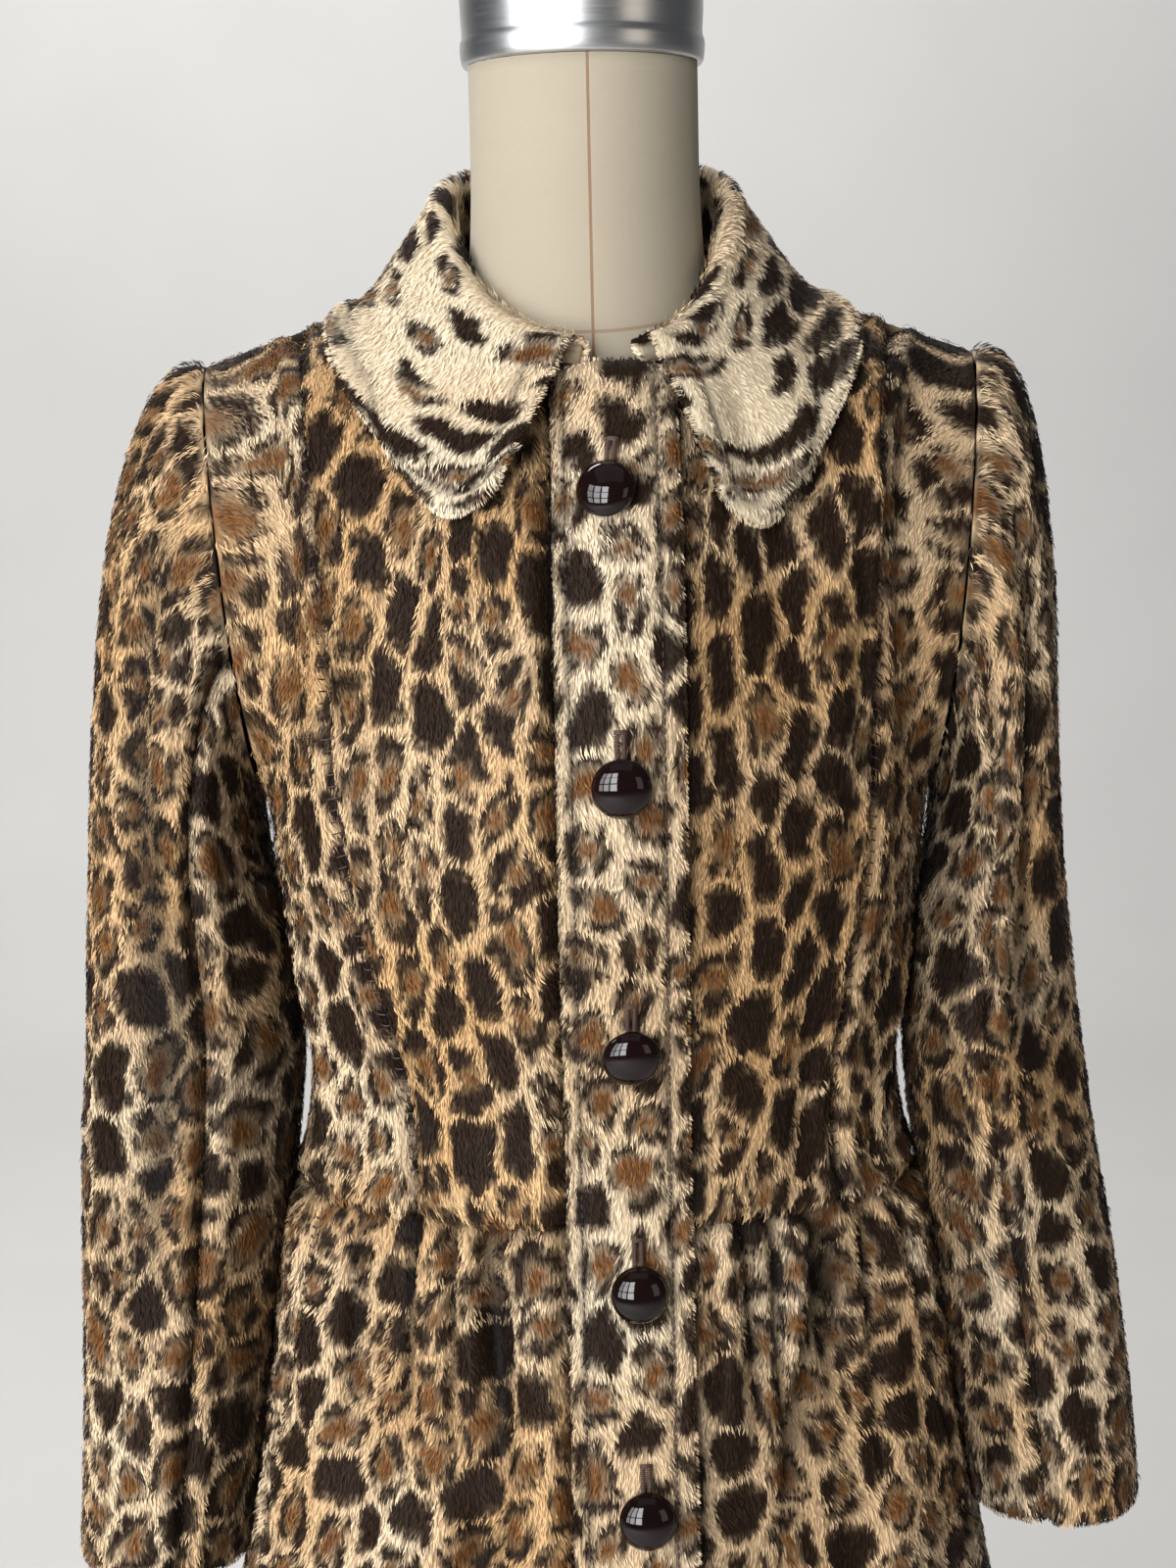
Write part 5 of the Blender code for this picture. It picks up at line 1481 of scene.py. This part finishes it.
def linen_finish():
    """Plain weave: crossing ribs with slubs, a brown seam down the front and one around the neck's base."""
    linen = Finish("form_linen", Roughness=0.86, Sheen_Weight=0.08)
    place = linen.node("ShaderNodeTexCoord").outputs["Object"]
    axes = linen.node("ShaderNodeSeparateXYZ", {}, {0: Value(linen, place)})
    x, y, z = (Value(linen, axes.outputs[k]) for k in range(3))
    weft = linen.maths("SINE", z * 7800.0)
    warp = linen.maths("SINE", linen.maths("ARCTAN2", x, 0.0 - y) * 440.0)
    slub = linen.noise(420.0, 3.0, (1.0, 1.0, 4.0))
    weave = weft * warp * 0.5 + 0.5
    seam = linen.maths("LESS_THAN", linen.maths("ABSOLUTE", x - 0.002), 0.0007)
    seam = seam * linen.maths("LESS_THAN", y, -0.01)
    base = z - 1.4155 - (y + 0.062) * 0.31
    ring_seam = linen.maths("LESS_THAN", linen.maths("ABSOLUTE", base), 0.0008)
    cloth = linen.mix(linen.noise(9.0, 4.0), colour(144, 136, 119), colour(161, 154, 139))
    cloth = linen.mix(slub * 0.35, cloth, colour(170, 156, 133))
    cloth = linen.mix(weave * 0.40, cloth, colour(157, 143, 119))
    cloth = linen.mix(seam * 0.8, cloth, colour(120, 86, 58))
    cloth = linen.mix(ring_seam * 0.6, cloth, colour(134, 104, 76))
    linen.bump(weave * 0.6 + slub - seam * 2.0 - ring_seam * 2.0, 0.35, 0.0004)
    return linen.set(Base_Color=cloth)


def cap_finish():
    """Spun aluminium: fine rings around the axis that vary its roughness."""
    metal = Finish("spun_metal", Metallic=1.0)
    rings = metal.noise(40.0, 4.0, (1.0, 1.0, 60.0))
    metal.bump(rings, 0.06, 0.0003)
    return metal.set(
        Base_Color=metal.mix(metal.noise(6.0), colour(186, 188, 190), colour(214, 213, 210)),
        Roughness=0.22 + 0.20 * rings,
    )


def backdrop():
    """Floor that curves up into a wall: a straight floor, a quarter round and a straight wall."""
    turn = np.radians(np.linspace(0, 90, 16))
    y = np.concatenate(((-7.0, 0.0), 3.8 + 1.4 * np.sin(turn), (5.2,)))
    z = np.concatenate(((0.0, 0.0), 1.4 - 1.4 * np.cos(turn), (8.0,)))
    x = np.linspace(-8, 8, 9)
    points = stack(x[None, :], y[:, None], z[:, None])
    shape = put_mesh("backdrop", points.reshape(-1, 3), quads(*points.shape[:2]), [PAINT])


def area_light(name, spot, target, size, power, tint):
    """Soft rectangular light that looks at a target."""
    lamp = bpy.data.lights.new(name, "AREA")
    lamp.shape = "RECTANGLE"
    lamp.size, lamp.size_y = size
    lamp.energy = power
    lamp.color = tint
    holder = bpy.data.objects.new(name, lamp)
    bpy.context.scene.collection.objects.link(holder)
    way = Vector(target) - Vector(spot)
    holder.matrix_world = Matrix.Translation(spot) @ way.to_track_quat("-Z", "Y").to_matrix().to_4x4()


def lights():
    """A paned window at the viewer's left, a soft warm fill at the right and light from above."""
    for row in range(3):
        for column in range(3):
            turn = math.radians(58 - 20 * column)
            spot = (-WINDOW_FAR * math.sin(turn), -WINDOW_FAR * math.cos(turn), 1.05 + 0.86 * row)
            name, power = "window_%d_%d" % (row, column), 11.5 + 7.5 * column
            area_light(name, spot, (0.0, -0.1, 1.15), PANE, power, (0.98, 0.985, 1.0))
    area_light("fill", (2.3, -1.9, 1.6), (0.0, 0.0, 1.1), (1.2, 1.6), 7.0, (1.0, 0.90, 0.78))
    area_light("above", (0.0, -0.6, 3.2), (0.0, 0.0, 1.0), (2.4, 2.0), 4.0, (1.0, 0.97, 0.93))
    area_light("wall_wash", (-1.0, 1.7, 4.6), (-0.2, 5.0, 0.6), (3.0, 1.0), 195.0, (1.0, 0.99, 0.97))
    world = bpy.data.worlds.new("soft_room")
    world.use_nodes = True
    sky = world.node_tree.nodes["Background"].inputs
    sky["Color"].default_value = (0.86, 0.90, 1.0, 1.0)
    sky["Strength"].default_value = 0.08
    bpy.context.scene.world = world
    bpy.context.scene.view_settings.view_transform = "Standard"


def camera():
    """The photograph's camera: a little above the shoulders, looking down, slightly rolled."""
    lens = bpy.data.cameras.new("camera")
    lens.sensor_fit = "VERTICAL"
    lens.sensor_height = SENSOR
    lens.lens = CAMERA_FOCUS * SENSOR
    holder = bpy.data.objects.new("camera", lens)
    bpy.context.scene.collection.objects.link(holder)
    tilt = Matrix.Rotation(math.radians(90 - CAMERA_DOWN), 4, "X")
    roll = Matrix.Rotation(math.radians(CAMERA_ROLL), 4, "Z")
    holder.matrix_world = Matrix.Translation(CAMERA_PLACE) @ (tilt @ roll)
    bpy.context.scene.camera = holder


FUR = fur_finish()
LINEN = linen_finish()

# Dark brown satin inside the coat
LINING = plain_finish(
    "lining_satin", (14.0,), (58, 40, 30), (74, 52, 39), ((900.0, 1.0, (1.0, 1.0, 0.15)), 0.15, 0.0003),
    Roughness=0.42, Sheen_Weight=0.2)

# Polished, nearly black with a red-brown depth
BUTTON = plain_finish(
    "button_gloss", (90.0, 3.0), (8, 4, 4), (24, 8, 7), Roughness=0.05, Specular_IOR_Level=0.38)

# Brown sewing thread with its twist
THREAD = plain_finish(
    "sewing_thread", (300.0,), (44, 28, 23), (78, 52, 40), ((2500.0, 1.0), 0.3, 0.0002), Roughness=0.55)

# Satin black enamel with a faint orange peel
ENAMEL = plain_finish(
    "stand_enamel", (30.0, 3.0), (26, 26, 27), (38, 37, 37), ((260.0, 2.0), 0.08, 0.0004),
    Roughness=0.38, Specular_IOR_Level=0.5)

# Matt off-white paint of the floor and wall
PAINT = plain_finish("matt_wall", (3.0,), (203, 202, 200), (210, 209, 207), Roughness=0.9)

camera()
lights()
backdrop()

PANELS = fronts("left") + fronts("right") + [back()] + skirts()
PANELS += sleeves("left") + sleeves("right") + [band(), collar()]
BY_NAME = {panel.name: panel for panel in PANELS}
for piece in PANELS:
    cloth, area = shell(piece)
    fur = pile(piece)
    slot = "band_fur" if piece.name == "button_band" else "fur"
    for made in (cloth, fur):
        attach(made, "root")
    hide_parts(piece.name)
    across, along = flat_coordinates(piece.points)
    wide = np.ptp(across, axis=1)
    wide = wide[:CHEST_ROWS] if piece.print in ("front", "side") else wide
    flat = (float(wide.max()) + 2 * ALLOWANCE, float(along.max()) + 2 * ALLOWANCE)
    area = min(area, flat[0] * flat[1])

for number in range(1, len(BUTTON_HEIGHTS) + 1):
    dome = button(number)
    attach(dome, "root")
    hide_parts("button_%d" % number)

for made in (
    buttonholes(),
    topstitches(),
    ladder("skirt_seam_stitches", BY_NAME["skirt_front_right"], "first_column", 0.0050, 0.45, 0.98),
    ladder("princess_stitches_right", BY_NAME["front_right"], "last_column", 0.0056, 0.05, 0.80),
    ladder("princess_stitches_left", BY_NAME["front_left"], "last_column", 0.0056, 0.05, 0.80),
):
    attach(made, "root")

CAP = divided([
    (0.0, 0.086), (0.012, 0.0855), (0.022, 0.084), (0.033, 0.081), (0.042, 0.077), (0.049, 0.0715),
    (0.054, 0.065), (0.0570, 0.0580), (0.0583, 0.050), (0.0586, 0.036), (0.0582, 0.024), (0.0577, 0.0155),
    (0.0579, 0.0125), (0.0586, 0.0110), (0.0588, 0.0085), (0.0586, 0.0050), (0.0580, 0.0015), (0.0572, 0.0),
    (0.0, 0.0),
], 0.004)
NECK_END = (0, NECK_CENTRE_Y, NECK_TOP + SEAM)
POLE = divided([
    (0.0, FORM_BOTTOM - SEAM), (POLE_RADIUS, FORM_BOTTOM - SEAM),
    (POLE_RADIUS, BASE_TOP + SEAM), (0.0, BASE_TOP + SEAM),
], 0.02)
BASE = divided([
    (0.0, BASE_TOP), (0.022, BASE_TOP), (0.0236, 0.0312), (0.024, 0.0300), (0.0255, 0.0275), (0.030, 0.026),
    (0.090, 0.0222), (0.150, 0.017), (0.170, 0.0142), (0.180, 0.012), (0.187, 0.0092), (0.190, 0.006),
    (0.190, 0.0), (0.0, 0.0),
], 0.006)
for made, node, slot in (
    (form_torso(), "form_torso", "linen"),
    (turned_piece("form_cap", CAP, NECK_END, cap_finish()), "form_neck_cap", "metal"),
    (turned_piece("form_post", POLE, (0, 0, 0), ENAMEL, 48), "form_pole", "stand"),
    (turned_piece("form_foot", BASE, (0, 0, 0), ENAMEL), "form_base", "stand"),
):
    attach(made, "root")
    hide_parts(node)
